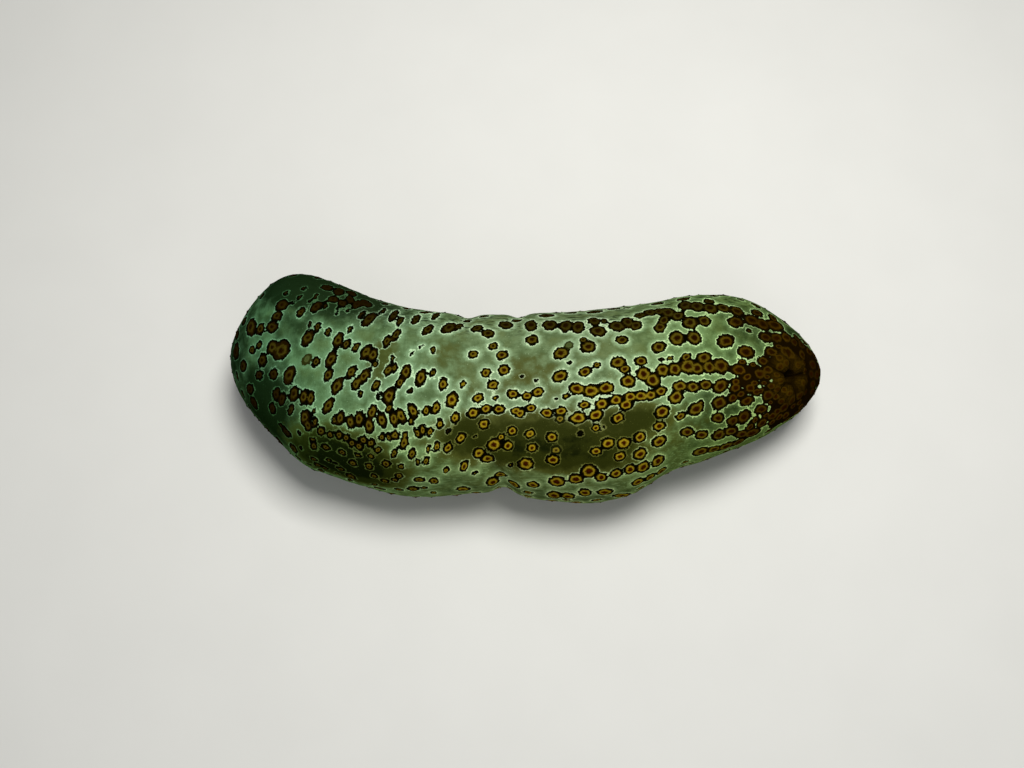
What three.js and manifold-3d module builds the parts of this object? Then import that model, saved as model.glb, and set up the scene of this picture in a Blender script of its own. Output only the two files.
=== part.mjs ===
// Leopard sea cucumber, life size, lying on its sole in a shallow sideways bend.
// Millimetres, +Z up. The mouth end points along -X, the end with the anus along +X,
// and the outside of the bend along -Y. The floor is z = 0.
import * as THREE from "three";
import { mergeVertices } from "three/addons/utils/BufferGeometryUtils.js";
import Module from "manifold-3d";

const wasm = await Module();
wasm.setup();

// Driving dimensions
const LENGTH = 360;
const HALF_WIDTH = 58;
const HEIGHT = 88;
const FOOT_LENGTH = 3;
const GAP = 0.3;
const DEGREE = Math.PI / 180;

// The trunk from mouth end to anal end. Each row holds the share of the length, how far the
// middle bends to the side in mm, and the half width and height as shares of the largest.
const STATIONS = [
  [0.0, 19, 0.98, 0.84],
  [0.08, 18, 1.01, 0.9],
  [0.16, 7, 1.0, 0.94],
  [0.3, -9, 0.98, 1.0],
  [0.44, -11, 0.93, 0.94],
  [0.6, -12.5, 0.99, 1.0],
  [0.7, -6.5, 0.955, 0.97],
  [0.8, 5, 0.88, 0.92],
  [0.88, 10, 0.9, 0.86],
  [1.0, 9, 0.9, 0.8],
];

// The two round ends: how far from the tip each starts to close, how blunt it closes seen
// from above and over the back, the height of the tip, and how the underside rises to it. The
// mouth and the anus don't lie on the tips: each has slid some degrees round its end, towards
// a direction counted from +Y through the back, so the mouth is below and the anus above.
const ORAL_END = {
  side: -1,
  reach: 56,
  power: 1.68,
  backPower: 2.1,
  tipHeight: 32,
  chinReach: 84,
  chinPower: 1.5,
  slide: 22,
  towards: 270,
};
const ANAL_END = {
  side: 1,
  reach: 91,
  power: 1.8,
  backPower: 2.1,
  tipHeight: 33,
  chinReach: 62,
  chinPower: 1.8,
  slide: 29,
  towards: 116,
};
const SLIDE_FADE = 90 * DEGREE;

// The section is a rounded loaf: a full back over a flatter sole.
const BACK_POWER = 2.2;
const SOLE_POWER = 3.2;
const WIDEST_LEVEL = 0.42;

// The folds where the body flexes: the place along the length where each begins on the back,
// how far it slants as it runs down the flank, its depth and half width, and the two angles
// round the body between which it deepens. All of them fade out under the sole.
const FOLDS = [
  { at: 0.37, slant: 0.095, depth: 4.5, halfWidth: 7, from: 95, full: 175 },
  { at: 0.405, slant: 0, depth: 2.6, halfWidth: 6, from: 75, full: 25 },
  { at: 0.48, slant: 0.01, depth: 2.2, halfWidth: 5, from: 70, full: 20 },
  { at: 0.74, slant: 0, depth: 5, halfWidth: 15, from: 110, full: 175 },
];
const FOLD_FADE = [225, 262];

// Low bulges that keep the back from being a plain tube: their height, their waves along the
// length and round the body, and where these start
const SWELLS = [
  { height: 1.3, along: 9.3, alongStart: 0.6, round: 2, roundStart: 0.4 },
  { height: 0.8, along: 19, alongStart: 2.1, round: 3, roundStart: 1.3 },
];

// The mouth and the puckered anus, each a round disc in a seat of its own. The mouth's disc
// lies flat in a recess with a soft rim round it. The lobes of the anus swell in a ring.
const MOUTH = {
  discRadius: 13.5,
  flatRadius: 15.5,
  rimRadius: 20,
  recess: 5,
  collar: 0.8,
  hole: 2.6,
  holeDepth: 6,
  seatDepth: 12,
};
const ANUS = {
  valveRadius: 17,
  lobeHeight: 2.8,
  lobeRadius: 9.5,
  lobeWidth: 6.1,
  hole: 3.1,
  holeDepth: 13,
  seatDepth: 8,
  moat: 0.9,
};
const VALVES = 5;
const TENTACLES = 20;

// The cuts that part the body, along X, and the level of the cut above the sole
const BODY_CUTS = { fore_body: -112, mid_body: -42, hind_body: 28, anal_end: 96 };
const SOLE_CUTS = { mid_sole: -32, hind_sole: 46 };
const SOLE_LEVEL = 8;
const CUT_CLEARANCE = 3;

// Facets round the body, and rings from mouth to anus, which lie closer at both ends
const FACETS = 36;
const RINGS = 64;
const RING_CROWDING = 0.62;

// Cutting bodies: the sides of a round one, and a distance that is clear of what it cuts
const PLUG_SIDES = 30;
const OUTSIDE = 50;

const SKIN = { color: 0x9aa884, roughness: 0.62, metalness: 0 };
const SOLE_SKIN = { color: 0xc4c09a, roughness: 0.7, metalness: 0 };
const ANAL_SKIN = { color: 0x6b3f18, roughness: 0.6, metalness: 0 };
const TENTACLE_SKIN = { color: 0x4a3018, roughness: 0.65, metalness: 0 };

function smoothstep(from, to, value) {
  const share = THREE.MathUtils.clamp((value - from) / (to - from), 0, 1);
  return share * share * (3 - 2 * share);
}

// A seeded random number generator, so that every build is the same
function randomFrom(seed) {
  let state = seed;
  return () => {
    state = (state * 1664525 + 1013904223) % 4294967296;
    return state / 4294967296;
  };
}

// The value in one column of STATIONS at a share of the length, on a smooth curve
function along(column, share) {
  const last = STATIONS.length - 1;
  let i = 0;
  while (i < last - 1 && share > STATIONS[i + 1][0]) i += 1;
  const slope = (a, b) => (STATIONS[b][column] - STATIONS[a][column]) / (STATIONS[b][0] - STATIONS[a][0]);
  const span = STATIONS[i + 1][0] - STATIONS[i][0];
  const t = (share - STATIONS[i][0]) / span;
  const start = slope(Math.max(i - 1, 0), i + 1) * span;
  const end = slope(i, Math.min(i + 2, last)) * span;
  const low = STATIONS[i][column];
  const high = STATIONS[i + 1][column];
  return (
    low * (2 * t ** 3 - 3 * t ** 2 + 1) +
    start * (t ** 3 - 2 * t ** 2 + t) +
    high * (3 * t ** 2 - 2 * t ** 3) +
    end * (t ** 3 - t ** 2)
  );
}

// How far an end has opened at a distance from its tip, from 0 to 1
function opening(distance, reach, power) {
  const closed = 1 - THREE.MathUtils.clamp(distance / reach, 0, 1);
  return (1 - closed ** power) ** (1 / power);
}

function foldDepth(share, angle) {
  const degrees = THREE.MathUtils.euclideanModulo(angle / DEGREE + 90, 360) - 90;
  const aboveSole = 1 - smoothstep(...FOLD_FADE, Math.abs(degrees - 90) + 90);
  return FOLDS.reduce((sum, fold) => {
    const down = smoothstep(fold.from, fold.full, degrees);
    const away = ((share - fold.at - fold.slant * down) * LENGTH) / fold.halfWidth;
    return sum + fold.depth * down * aboveSole * Math.exp(-away * away);
  }, 0);
}

function swellHeight(share, angle) {
  return SWELLS.reduce((sum, swell) => {
    const lengthwise = Math.sin(swell.along * share + swell.alongStart);
    return sum + swell.height * lengthwise * Math.cos(swell.round * angle + swell.roundStart);
  }, 0);
}

// A point of the skin at a share of the length and an angle round the body, where 0 faces
// +Y, 90 degrees is the back and 270 the sole. The mouth and anus aren't in it yet.
function loafPoint(share, angle) {
  const fromMouthTip = share * LENGTH;
  const fromAnalTip = LENGTH - fromMouthTip;
  const opened = (reach, power) => opening(fromMouthTip, ORAL_END[reach], ORAL_END[power]) *
    opening(fromAnalTip, ANAL_END[reach], ANAL_END[power]);
  const round = opened("reach", "power");
  const back = opened("reach", "backPower");
  const chin = opened("chinReach", "chinPower");
  const tip = THREE.MathUtils.lerp(ORAL_END.tipHeight, ANAL_END.tipHeight, smoothstep(0.2, 0.8, share));
  const top = tip + (HEIGHT * along(3, share) - tip) * back;
  const bottom = tip - (tip - FOOT_LENGTH) * chin;
  const middle = tip + (HEIGHT * WIDEST_LEVEL - tip) * round;
  const halfWidth = HALF_WIDTH * along(2, share) * round;
  const [cos, sin] = [Math.cos(angle), Math.sin(angle)];
  const [depth, power] = sin >= 0 ? [top - middle, BACK_POWER] : [middle - bottom, SOLE_POWER];
  if (halfWidth < 1e-6) return new THREE.Vector3(fromMouthTip - LENGTH / 2, along(1, share), tip);
  const radius = (Math.abs(cos / halfWidth) ** power + Math.abs(sin / depth) ** power) ** (-1 / power);
  const onBack = smoothstep(-0.9, 0.2, sin);
  const relief = round * (swellHeight(share, angle) * onBack - foldDepth(share, angle));
  const reach = radius + relief;
  return new THREE.Vector3(
    fromMouthTip - LENGTH / 2,
    along(1, share) + reach * cos,
    Math.max(middle + reach * sin, FOOT_LENGTH),
  );
}

// The share of the length that lies at an angle from the mouth tip, 0, to the anal tip, pi.
// It keeps the rings even along the skin, so that they crowd where the ends turn round.
function shareAt(latitude) {
  const quarter = Math.PI / 2;
  const straight = LENGTH - ORAL_END.reach - ANAL_END.reach;
  const skinLength = quarter * (ORAL_END.reach + ANAL_END.reach) + straight;
  const distance = (latitude / Math.PI) * skinLength;
  const left = skinLength - distance;
  if (distance < quarter * ORAL_END.reach) {
    return (ORAL_END.reach * (1 - Math.cos(distance / ORAL_END.reach))) / LENGTH;
  }
  if (left < quarter * ANAL_END.reach) {
    return 1 - (ANAL_END.reach * (1 - Math.cos(left / ANAL_END.reach))) / LENGTH;
  }
  return (ORAL_END.reach + distance - quarter * ORAL_END.reach) / LENGTH;
}

// Turns a place on the unit sphere with its end's slide, which fades out along the trunk
function slideRound(place, end, fromPole) {
  const turn = end.slide * (1 - smoothstep(0, SLIDE_FADE, fromPole)) * DEGREE;
  const direction = new THREE.Vector3(0, Math.cos(end.towards * DEGREE), Math.sin(end.towards * DEGREE));
  place.applyAxisAngle(new THREE.Vector3(end.side, 0, 0).cross(direction), turn);
}

// The same skin counted from mouth to anus: the mouth is the pole at 0, the anus that at pi
function polePoint(fromMouth, round) {
  const place = new THREE.Vector3(
    -Math.cos(fromMouth),
    Math.sin(fromMouth) * Math.cos(round),
    Math.sin(fromMouth) * Math.sin(round),
  );
  slideRound(place, ORAL_END, fromMouth);
  slideRound(place, ANAL_END, Math.PI - fromMouth);
  const latitude = Math.acos(THREE.MathUtils.clamp(-place.x, -1, 1));
  return loafPoint(shareAt(latitude), Math.atan2(place.z, place.y));
}

// A frame on a pole: its point, its outward normal and two directions in the skin
function poleFrame(fromMouth) {
  const step = fromMouth === 0 ? 0.02 : -0.02;
  const point = polePoint(fromMouth, 0);
  const ring = [0, 1, 2, 3].map((i) => polePoint(fromMouth + step, (i * Math.PI) / 2));
  const across = ring[0].clone().sub(ring[2]);
  const other = ring[1].clone().sub(ring[3]);
  const normal = across.clone().cross(other).normalize();
  if (fromMouth === 0) normal.negate();
  const right = across.addScaledVector(normal, -across.dot(normal)).normalize();
  return { point, normal, right, up: normal.clone().cross(right) };
}

const mouth = poleFrame(0);
const anus = poleFrame(Math.PI);

function inFrame(frame, radius, angle, height) {
  return frame.point.clone()
    .addScaledVector(frame.right, radius * Math.cos(angle))
    .addScaledVector(frame.up, radius * Math.sin(angle))
    .addScaledVector(frame.normal, height);
}

// Turns and moves a geometry so that its Z axis lies on the frame's normal
function placeOn(frame, geometry) {
  const turn = new THREE.Matrix4().makeBasis(frame.right, frame.up, frame.normal);
  return geometry.applyMatrix4(turn.setPosition(frame.point));
}

// The flat disc round the mouth, sunk in its collar, with the mouth hole in its middle
function sinkMouth(point) {
  const offset = point.clone().sub(mouth.point);
  const radius = offset.length();
  if (radius > OUTSIDE) return point;
  const height = offset.dot(mouth.normal);
  const sunk = 1 - smoothstep(MOUTH.flatRadius, MOUTH.rimRadius, radius);
  const collar = MOUTH.collar * Math.exp(-(((radius - MOUTH.rimRadius) / 3) ** 2));
  const hole = MOUTH.holeDepth * Math.exp(-((radius / MOUTH.hole) ** 4));
  const level = (height + collar) * (1 - sunk) - MOUTH.recess * sunk - hole;
  return point.clone().addScaledVector(mouth.normal, level - height);
}

// Five swollen lobes with creases between them round a deep hole
function puckerAnus(point) {
  const offset = point.clone().sub(anus.point);
  const radius = offset.length();
  if (radius > OUTSIDE) return point;
  const around = Math.atan2(offset.dot(anus.up), offset.dot(anus.right));
  const lobe = Math.abs(Math.cos((VALVES * around) / 2)) ** 0.6;
  const ring = Math.exp(-(((radius - ANUS.lobeRadius) / ANUS.lobeWidth) ** 2));
  const moat = ANUS.moat * Math.exp(-(((radius - 1.2 * ANUS.valveRadius) / 4) ** 2));
  const hole = ANUS.holeDepth * Math.exp(-((radius / ANUS.hole) ** 4));
  const lobes = ANUS.lobeHeight * lobe * ring * smoothstep(0, ANUS.hole, radius);
  return point.clone().addScaledVector(anus.normal, lobes - moat - hole);
}

// Closed geometry to solid and back
function solidOf(geometry) {
  const bare = geometry.clone();
  bare.deleteAttribute("normal");
  bare.deleteAttribute("uv");
  const merged = mergeVertices(bare, 1e-4);
  return new wasm.Manifold(
    new wasm.Mesh({
      numProp: 3,
      vertProperties: merged.attributes.position.array,
      triVerts: new Uint32Array(merged.index.array),
    }),
  );
}

function geometryOf(solid) {
  const { numProp, vertProperties, triVerts } = solid.getMesh();
  const corners = new Float32Array(triVerts.length * 3);
  triVerts.forEach((vertex, i) => {
    corners.set(vertProperties.subarray(vertex * numProp, vertex * numProp + 3), i * 3);
  });
  const geometry = new THREE.BufferGeometry();
  geometry.setAttribute("position", new THREE.BufferAttribute(corners, 3));
  geometry.computeVertexNormals();
  return geometry;
}

function largestOf(solid) {
  return solid.decompose().reduce((most, next) => (next.volume() > most.volume() ? next : most));
}

// Moves every vertex of a geometry by a rule
function reshape(geometry, rule) {
  const position = geometry.attributes.position;
  for (let i = 0; i < position.count; i += 1) {
    const moved = rule(new THREE.Vector3().fromBufferAttribute(position, i));
    position.setXYZ(i, moved.x, moved.y, moved.z);
  }
  return geometry;
}

// The whole body as one closed skin. The sphere's own poles become mouth and anus.
function wholeBody() {
  const sphere = new THREE.SphereGeometry(1, FACETS, RINGS);
  return solidOf(
    reshape(sphere, (place) => {
      const even = Math.acos(THREE.MathUtils.clamp(place.y, -1, 1)) / Math.PI;
      const crowded = even - (RING_CROWDING * Math.sin(2 * Math.PI * even)) / (2 * Math.PI);
      const skin = polePoint(crowded * Math.PI, Math.atan2(place.z, place.x));
      return puckerAnus(sinkMouth(skin));
    }),
  );
}

// A box between two X planes and two Z planes, wide enough for the whole animal
function slab(fromX, toX, fromZ, toZ) {
  const block = new THREE.BoxGeometry(toX - fromX, LENGTH, toZ - fromZ);
  block.translate((fromX + toX) / 2, 0, (fromZ + toZ) / 2);
  return solidOf(block);
}

// A cylinder on a pole's frame, from one height to another
function plug(frame, radius, from, to) {
  const cylinder = new THREE.CylinderGeometry(radius, radius, to - from, PLUG_SIDES);
  cylinder.rotateX(Math.PI / 2);
  cylinder.translate(0, 0, (from + to) / 2);
  return solidOf(placeOn(frame, cylinder));
}

// One of the sectors round the anus, kept half a gap clear of its neighbours
function sector(index) {
  const half = Math.PI / VALVES;
  const start = GAP / 2 / Math.sin(half);
  const side = (OUTSIDE - start) * Math.tan(half);
  const outline = new THREE.Shape([
    new THREE.Vector2(start, 0),
    new THREE.Vector2(OUTSIDE, -side),
    new THREE.Vector2(OUTSIDE, side),
  ]);
  const prism = new THREE.ExtrudeGeometry(outline, { depth: 2 * OUTSIDE, bevelEnabled: false });
  prism.translate(0, 0, -OUTSIDE);
  prism.rotateZ(2 * half * index);
  return solidOf(placeOn(anus, prism));
}

// Skin normal at a place on the trunk
function trunkFrame(share, angle) {
  const point = loafPoint(share, angle);
  const lengthwise = loafPoint(share + 0.004, angle).sub(loafPoint(share - 0.004, angle));
  const round = loafPoint(share, angle + 0.03).sub(loafPoint(share, angle - 0.03));
  const normal = lengthwise.clone().cross(round).normalize();
  if (normal.dot(new THREE.Vector3(0, Math.cos(angle), Math.sin(angle))) < 0) normal.negate();
  return { point, normal };
}

// Low, soft papillae stand in the middle of the eye spots, in rows along the back. Each row
// holds its first and last share of the length, its first and last angle, and its number.
const PAPILLA_ROWS = [
  [0.1, 0.93, 28, 36, 12],
  [0.07, 0.84, 60, 58, 11],
  [0.12, 0.9, 88, 80, 12],
  [0.14, 0.86, 112, 98, 12],
  [0.09, 0.88, 136, 120, 13],
  [0.12, 0.88, 158, 144, 12],
  [0.16, 0.86, 182, 172, 10],
];
const PAPILLA = { radius: 2.1, height: 1.5, root: 1.2, sides: 5, tip: 0.45 };

function papillae() {
  const random = randomFrom(7);
  const wander = () => random() - 0.5;
  return PAPILLA_ROWS.flatMap(([start, end, startAngle, endAngle, number]) =>
    Array.from({ length: number }, (unused, i) => {
      const t = i / (number - 1);
      const share = THREE.MathUtils.lerp(start, end, t) + 0.02 * wander();
      const angle = (THREE.MathUtils.lerp(startAngle, endAngle, t) + 9 * wander()) * DEGREE;
      const size = 0.85 + 0.4 * random();
      const { point, normal } = trunkFrame(share, angle);
      const cone = new THREE.CylinderGeometry(
        PAPILLA.radius * PAPILLA.tip * size,
        PAPILLA.radius * size,
        PAPILLA.height * size + PAPILLA.root,
        PAPILLA.sides,
      );
      cone.translate(0, (PAPILLA.height * size - PAPILLA.root) / 2, 0);
      cone.applyQuaternion(new THREE.Quaternion().setFromUnitVectors(new THREE.Vector3(0, 1, 0), normal));
      cone.translate(point.x, point.y, point.z);
      return { x: point.x, solid: solidOf(cone) };
    }),
  );
}

// Tube feet under the sole, in three bands of two staggered rows, each with a flat sucker
const FOOT = { radius: 1.3, sucker: 1.9, suckerHeight: 1.3, top: SOLE_LEVEL - 2, sides: 6 };
const FOOT_BANDS = { places: 13, start: 0.235, end: 0.815, spread: 0.44, stagger: 3.4 };

function tubeFeet() {
  const random = randomFrom(23);
  const feet = [];
  for (const band of [-1, 0, 1]) {
    for (let i = 0; i < 2 * FOOT_BANDS.places; i += 1) {
      const t = i / (2 * FOOT_BANDS.places - 1);
      const share = THREE.MathUtils.lerp(FOOT_BANDS.start, FOOT_BANDS.end, t);
      const side = i % 2 ? FOOT_BANDS.stagger : -FOOT_BANDS.stagger;
      const x = (share - 0.5) * LENGTH + 1.5 * (random() - 0.5);
      const halfWidth = HALF_WIDTH * along(2, share);
      const y = along(1, share) + band * FOOT_BANDS.spread * halfWidth + side + random() - 0.5;
      const profile = [
        [0, 0],
        [FOOT.sucker, 0],
        [FOOT.radius, FOOT.suckerHeight],
        [FOOT.radius, FOOT.top],
        [0, FOOT.top],
      ].map(([radius, height]) => new THREE.Vector2(radius, height));
      const foot = new THREE.LatheGeometry(profile, FOOT.sides);
      foot.rotateX(Math.PI / 2);
      foot.translate(x, y, 0);
      feet.push({ x, solid: solidOf(foot) });
    }
  }
  return feet;
}

// Twenty short tentacles in two circles round the mouth. Each path runs from the disc,
// outward and down, in distances from the mouth's middle and below its rim.
const OUTER_TENTACLE = { root: 11, bend: 14.2, reach: 21, drop: 5.8, stalk: 1.35, crown: 4 };
const INNER_TENTACLE = { root: 7.4, bend: 8.6, reach: 13, drop: 8.2, stalk: 1.2, crown: 3.2 };
const CROWN_SCALLOP = 0.13;
// Share of the path and radius as a share of the crown, from the neck to the crown's face
const CROWN_PROFILE = [[0.66, 0.0], [0.8, 0.72], [0.93, 1.0], [1.0, 0.7]];

function tentacle(index) {
  const kind = index % 2 ? INNER_TENTACLE : OUTER_TENTACLE;
  const angle = (2 * Math.PI * (index + 0.5)) / TENTACLES;
  const start = -MOUTH.recess + GAP;
  const path = new THREE.CatmullRomCurve3([
    inFrame(mouth, kind.root, angle, start),
    inFrame(mouth, kind.root + 0.1, angle, start + 1.5),
    inFrame(mouth, kind.bend, angle, kind.drop - 3.6),
    inFrame(mouth, kind.reach, angle, kind.drop),
  ]);
  const levels = CROWN_PROFILE.length + 2;
  const rod = new THREE.CylinderGeometry(1, 1, levels, 8, levels);
  const side = inFrame(mouth, 0, 0, 0).sub(inFrame(mouth, 1, angle + Math.PI / 2, 0)).normalize();
  return reshape(rod, (p) => {
    const level = Math.round(levels / 2 + p.y);
    const inCrown = level - 3;
    const [share, width] = inCrown >= 0 ? CROWN_PROFILE[inCrown] : [level * 0.22, 0];
    const turn = Math.atan2(p.z, p.x);
    const scallop = 1 + CROWN_SCALLOP * Math.cos(4 * turn) * width;
    const radius = Math.hypot(p.x, p.z) * Math.max(kind.stalk, kind.crown * width * scallop);
    const middle = path.getPointAt(Math.min(share, 1));
    const forward = level === 0 ? mouth.normal : path.getTangentAt(Math.min(share, 1));
    const sideways = side.clone().addScaledVector(forward, -side.dot(forward)).normalize();
    const upward = sideways.clone().cross(forward);
    return middle
      .addScaledVector(sideways, radius * Math.cos(turn))
      .addScaledVector(upward, radius * Math.sin(turn));
  });
}

const model = new THREE.Group();

function add(name, geometry, finish) {
  const mesh = new THREE.Mesh(geometry, new THREE.MeshStandardMaterial(finish));
  mesh.name = name;
  model.add(mesh);
}

// Cuts a solid into lengths at the X planes of a table, from the first name to the last
function lengthsOf(solid, firstName, cuts, fromZ, toZ) {
  const names = [firstName, ...Object.keys(cuts)];
  const planes = [-LENGTH, ...Object.values(cuts), LENGTH];
  return names.map((name, i) => ({
    name,
    from: planes[i],
    to: planes[i + 1],
    solid: solid.intersect(slab(planes[i] + GAP / 2, planes[i + 1] - GAP / 2, fromZ, toZ)),
  }));
}

const whole = wholeBody();

// Upper body, with its papillae, the seat of the valves and the seat of the mouth disc
const discPlug = plug(mouth, MOUTH.discRadius, -MOUTH.seatDepth, OUTSIDE);
const discSeat = plug(mouth, MOUTH.discRadius + GAP, -MOUTH.seatDepth - GAP, OUTSIDE);
const valvePlug = plug(anus, ANUS.valveRadius, -ANUS.seatDepth, OUTSIDE);
const valveSeat = plug(anus, ANUS.valveRadius + GAP, -ANUS.seatDepth - GAP, OUTSIDE);
const dots = papillae();
for (const piece of lengthsOf(whole, "oral_end", BODY_CUTS, SOLE_LEVEL + GAP / 2, LENGTH)) {
  const clearOfCuts = (dot) => dot.x > piece.from + CUT_CLEARANCE && dot.x < piece.to - CUT_CLEARANCE;
  let solid = dots.filter(clearOfCuts).reduce((sum, dot) => sum.add(dot.solid), piece.solid);
  if (piece.name === "oral_end") solid = solid.subtract(discSeat);
  if (piece.name === "anal_end") solid = solid.subtract(valveSeat);
  add(piece.name, geometryOf(largestOf(solid)), SKIN);
}

// The sole in three lengths, each with its tube feet
const feet = tubeFeet();
for (const piece of lengthsOf(whole, "fore_sole", SOLE_CUTS, -OUTSIDE, SOLE_LEVEL - GAP / 2)) {
  const clearOfCuts = (foot) => foot.x > piece.from + CUT_CLEARANCE && foot.x < piece.to - CUT_CLEARANCE;
  const solid = feet.filter(clearOfCuts).reduce((sum, foot) => sum.add(foot.solid), piece.solid);
  add(piece.name, geometryOf(largestOf(solid)), SOLE_SKIN);
}

add("mouth_disc", geometryOf(largestOf(whole.intersect(discPlug))), TENTACLE_SKIN);
for (let i = 0; i < TENTACLES; i += 1) {
  add(`tentacle_${String(i + 1).padStart(2, "0")}`, tentacle(i), TENTACLE_SKIN);
}

const valves = whole.intersect(valvePlug);
for (let i = 0; i < VALVES; i += 1) {
  add(`anal_valve_${i + 1}`, geometryOf(largestOf(valves.intersect(sector(i)))), ANAL_SKIN);
}

// The origin goes on the floor under the middle of the model's box
const box = new THREE.Box3().setFromObject(model);
const centre = box.getCenter(new THREE.Vector3());
model.position.set(-centre.x, -centre.y, 0);

export default model;
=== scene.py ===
# %% [markdown]
# # A leopard sea cucumber as a life-size museum model
# The animal lies on its sole in a shallow sideways bend. One closed skin carries its shape and
# its ringed spots. Papillae, tube feet and mouth tentacles are joined meshes set on that skin.
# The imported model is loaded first, because every piece here stands for some of its nodes.

import math

import bmesh
import bpy
import numpy as np
from mathutils import Matrix, Vector, noise
from mathutils.bvhtree import BVHTree
from mathutils.kdtree import KDTree


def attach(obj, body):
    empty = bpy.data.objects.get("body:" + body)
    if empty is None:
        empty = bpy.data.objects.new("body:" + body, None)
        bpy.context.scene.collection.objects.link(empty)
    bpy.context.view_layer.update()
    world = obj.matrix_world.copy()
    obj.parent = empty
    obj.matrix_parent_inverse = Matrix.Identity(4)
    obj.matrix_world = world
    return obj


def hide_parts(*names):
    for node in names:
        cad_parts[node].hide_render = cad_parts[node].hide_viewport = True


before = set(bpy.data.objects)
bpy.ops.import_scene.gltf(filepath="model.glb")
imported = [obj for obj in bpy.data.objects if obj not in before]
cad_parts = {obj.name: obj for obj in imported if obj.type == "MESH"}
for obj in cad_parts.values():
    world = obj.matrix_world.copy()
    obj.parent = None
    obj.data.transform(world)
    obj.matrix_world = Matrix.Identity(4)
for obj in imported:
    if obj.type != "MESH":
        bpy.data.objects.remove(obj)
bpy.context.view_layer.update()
NODES = sorted(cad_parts)
TENTACLE_NODES = [name for name in NODES if name.startswith("tentacle_")]
FLESH_NODES = [name for name in NODES if not name.startswith("tentacle_")]
MM = 0.001
print("nodes of flesh", len(FLESH_NODES), "tentacles", len(TENTACLE_NODES))

# %% [markdown]
# ## Camera
# The photo looks down steeply on the near side of the animal. A camera is best set from a few
# readable facts: how high it stands, its lens, its distance, and which point of the animal is
# seen at which pixel. The camera is made first, as the spots are placed through it.

# %% Set the camera from the photo's view
IMAGE_WIDTH = 1024
IMAGE_HEIGHT = 768
SENSOR_WIDTH = 36.0
LENS = 35.0
ELEVATION = math.radians(72)
CAMERA_DISTANCE = 600 * MM
BODY_SHIFT = Vector((0.05 * MM, 0.84 * MM, 0.0))
AIM_POINT = Vector((0.0, 0.0, 40 * MM)) + BODY_SHIFT
AIM_PIXEL = (525.0, 384.5)

FORWARD = Vector((0.0, math.cos(ELEVATION), -math.sin(ELEVATION)))
RIGHT = Vector((1.0, 0.0, 0.0))
UP = RIGHT.cross(FORWARD)
PIXELS_PER_SLOPE = LENS / SENSOR_WIDTH * IMAGE_WIDTH


def ray_through(pixel):
    """Direction from the camera through a pixel of the photo, one unit deep."""
    sideways = float(pixel[0] - IMAGE_WIDTH / 2) / PIXELS_PER_SLOPE
    upwards = float(IMAGE_HEIGHT / 2 - pixel[1]) / PIXELS_PER_SLOPE
    return FORWARD + sideways * RIGHT + upwards * UP


CAMERA_PLACE = AIM_POINT - CAMERA_DISTANCE * ray_through(AIM_PIXEL)
camera = bpy.data.objects.new("camera", bpy.data.cameras.new("camera"))
camera.data.lens = LENS
camera.data.sensor_width = SENSOR_WIDTH
camera.location = CAMERA_PLACE
camera.rotation_euler = (math.pi / 2 - ELEVATION, 0.0, 0.0)
bpy.context.collection.objects.link(camera)
bpy.context.scene.camera = camera
print("camera at", [round(value, 3) for value in CAMERA_PLACE])

# %% [markdown]
# ## The body's shape
# A sea cucumber is a muscular tube that flattens under its own weight. It could be sculpted, but
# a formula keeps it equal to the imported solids: a loaf-shaped section whose width, height and
# sideways place follow a smooth curve along the length, closing at both round ends.

# %% Sizes of the body
LENGTH = 360 * MM
HALF_WIDTH = 58 * MM
HEIGHT = 88 * MM
FOOT_LENGTH = 3 * MM
BACK_POWER = 2.2
SOLE_POWER = 3.2
WIDEST_LEVEL = 0.42
# Share of the length, sideways place of the middle in mm, shares of the width and the height
STATIONS = np.array([
    [0.0, 19, 0.98, 0.84],
    [0.08, 18, 1.01, 0.9],
    [0.16, 7, 1.0, 0.94],
    [0.3, -9, 0.98, 1.0],
    [0.44, -11, 0.93, 0.94],
    [0.6, -12.5, 0.99, 1.0],
    [0.7, -6.5, 0.955, 0.97],
    [0.8, 5, 0.88, 0.92],
    [0.88, 10, 0.9, 0.86],
    [1.0, 9, 0.9, 0.8],
])
SIDEWAYS, WIDTH_SHARE, HEIGHT_SHARE = 1, 2, 3
ORAL_END = {"side": -1, "reach": 56 * MM, "power": 1.68, "back_power": 2.1, "tip_height": 32 * MM,
            "chin_reach": 84 * MM, "chin_power": 1.5, "slide": 22, "towards": 270}
ANAL_END = {"side": 1, "reach": 91 * MM, "power": 1.8, "back_power": 2.1, "tip_height": 33 * MM,
            "chin_reach": 62 * MM, "chin_power": 1.8, "slide": 29, "towards": 116}
SLIDE_FADE = math.pi / 2
# Shares of the length between which the tips' height goes over from one end's to the other's
TIP_CHANGE = (0.2, 0.8)
# Keeps divisions safe where the body closes
TINY = 1e-9


def smoothstep(start, end, value):
    share = np.clip((value - start) / (end - start), 0.0, 1.0)
    return share * share * (3 - 2 * share)


def along(column, share):
    """A column of STATIONS at shares of the length, on a smooth curve."""
    place, height = STATIONS[:, 0], STATIONS[:, column]
    last = len(place) - 1
    before = np.maximum(np.arange(last + 1) - 1, 0)
    after = np.minimum(np.arange(last + 1) + 1, last)
    slope = (height[after] - height[before]) / (place[after] - place[before])
    i = np.clip(np.searchsorted(place, share) - 1, 0, last - 1)
    span = place[i + 1] - place[i]
    t = (share - place[i]) / span
    return (height[i] * (2 * t**3 - 3 * t**2 + 1) + slope[i] * span * (t**3 - 2 * t**2 + t)
            + height[i + 1] * (3 * t**2 - 2 * t**3) + slope[i + 1] * span * (t**3 - t**2))


def opening(distance, reach, power):
    """How far a round end has opened at a distance from its tip, from 0 to 1."""
    closed = 1 - np.clip(distance / reach, 0.0, 1.0)
    return np.maximum(1 - closed**power, 0.0) ** (1 / power)


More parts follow.
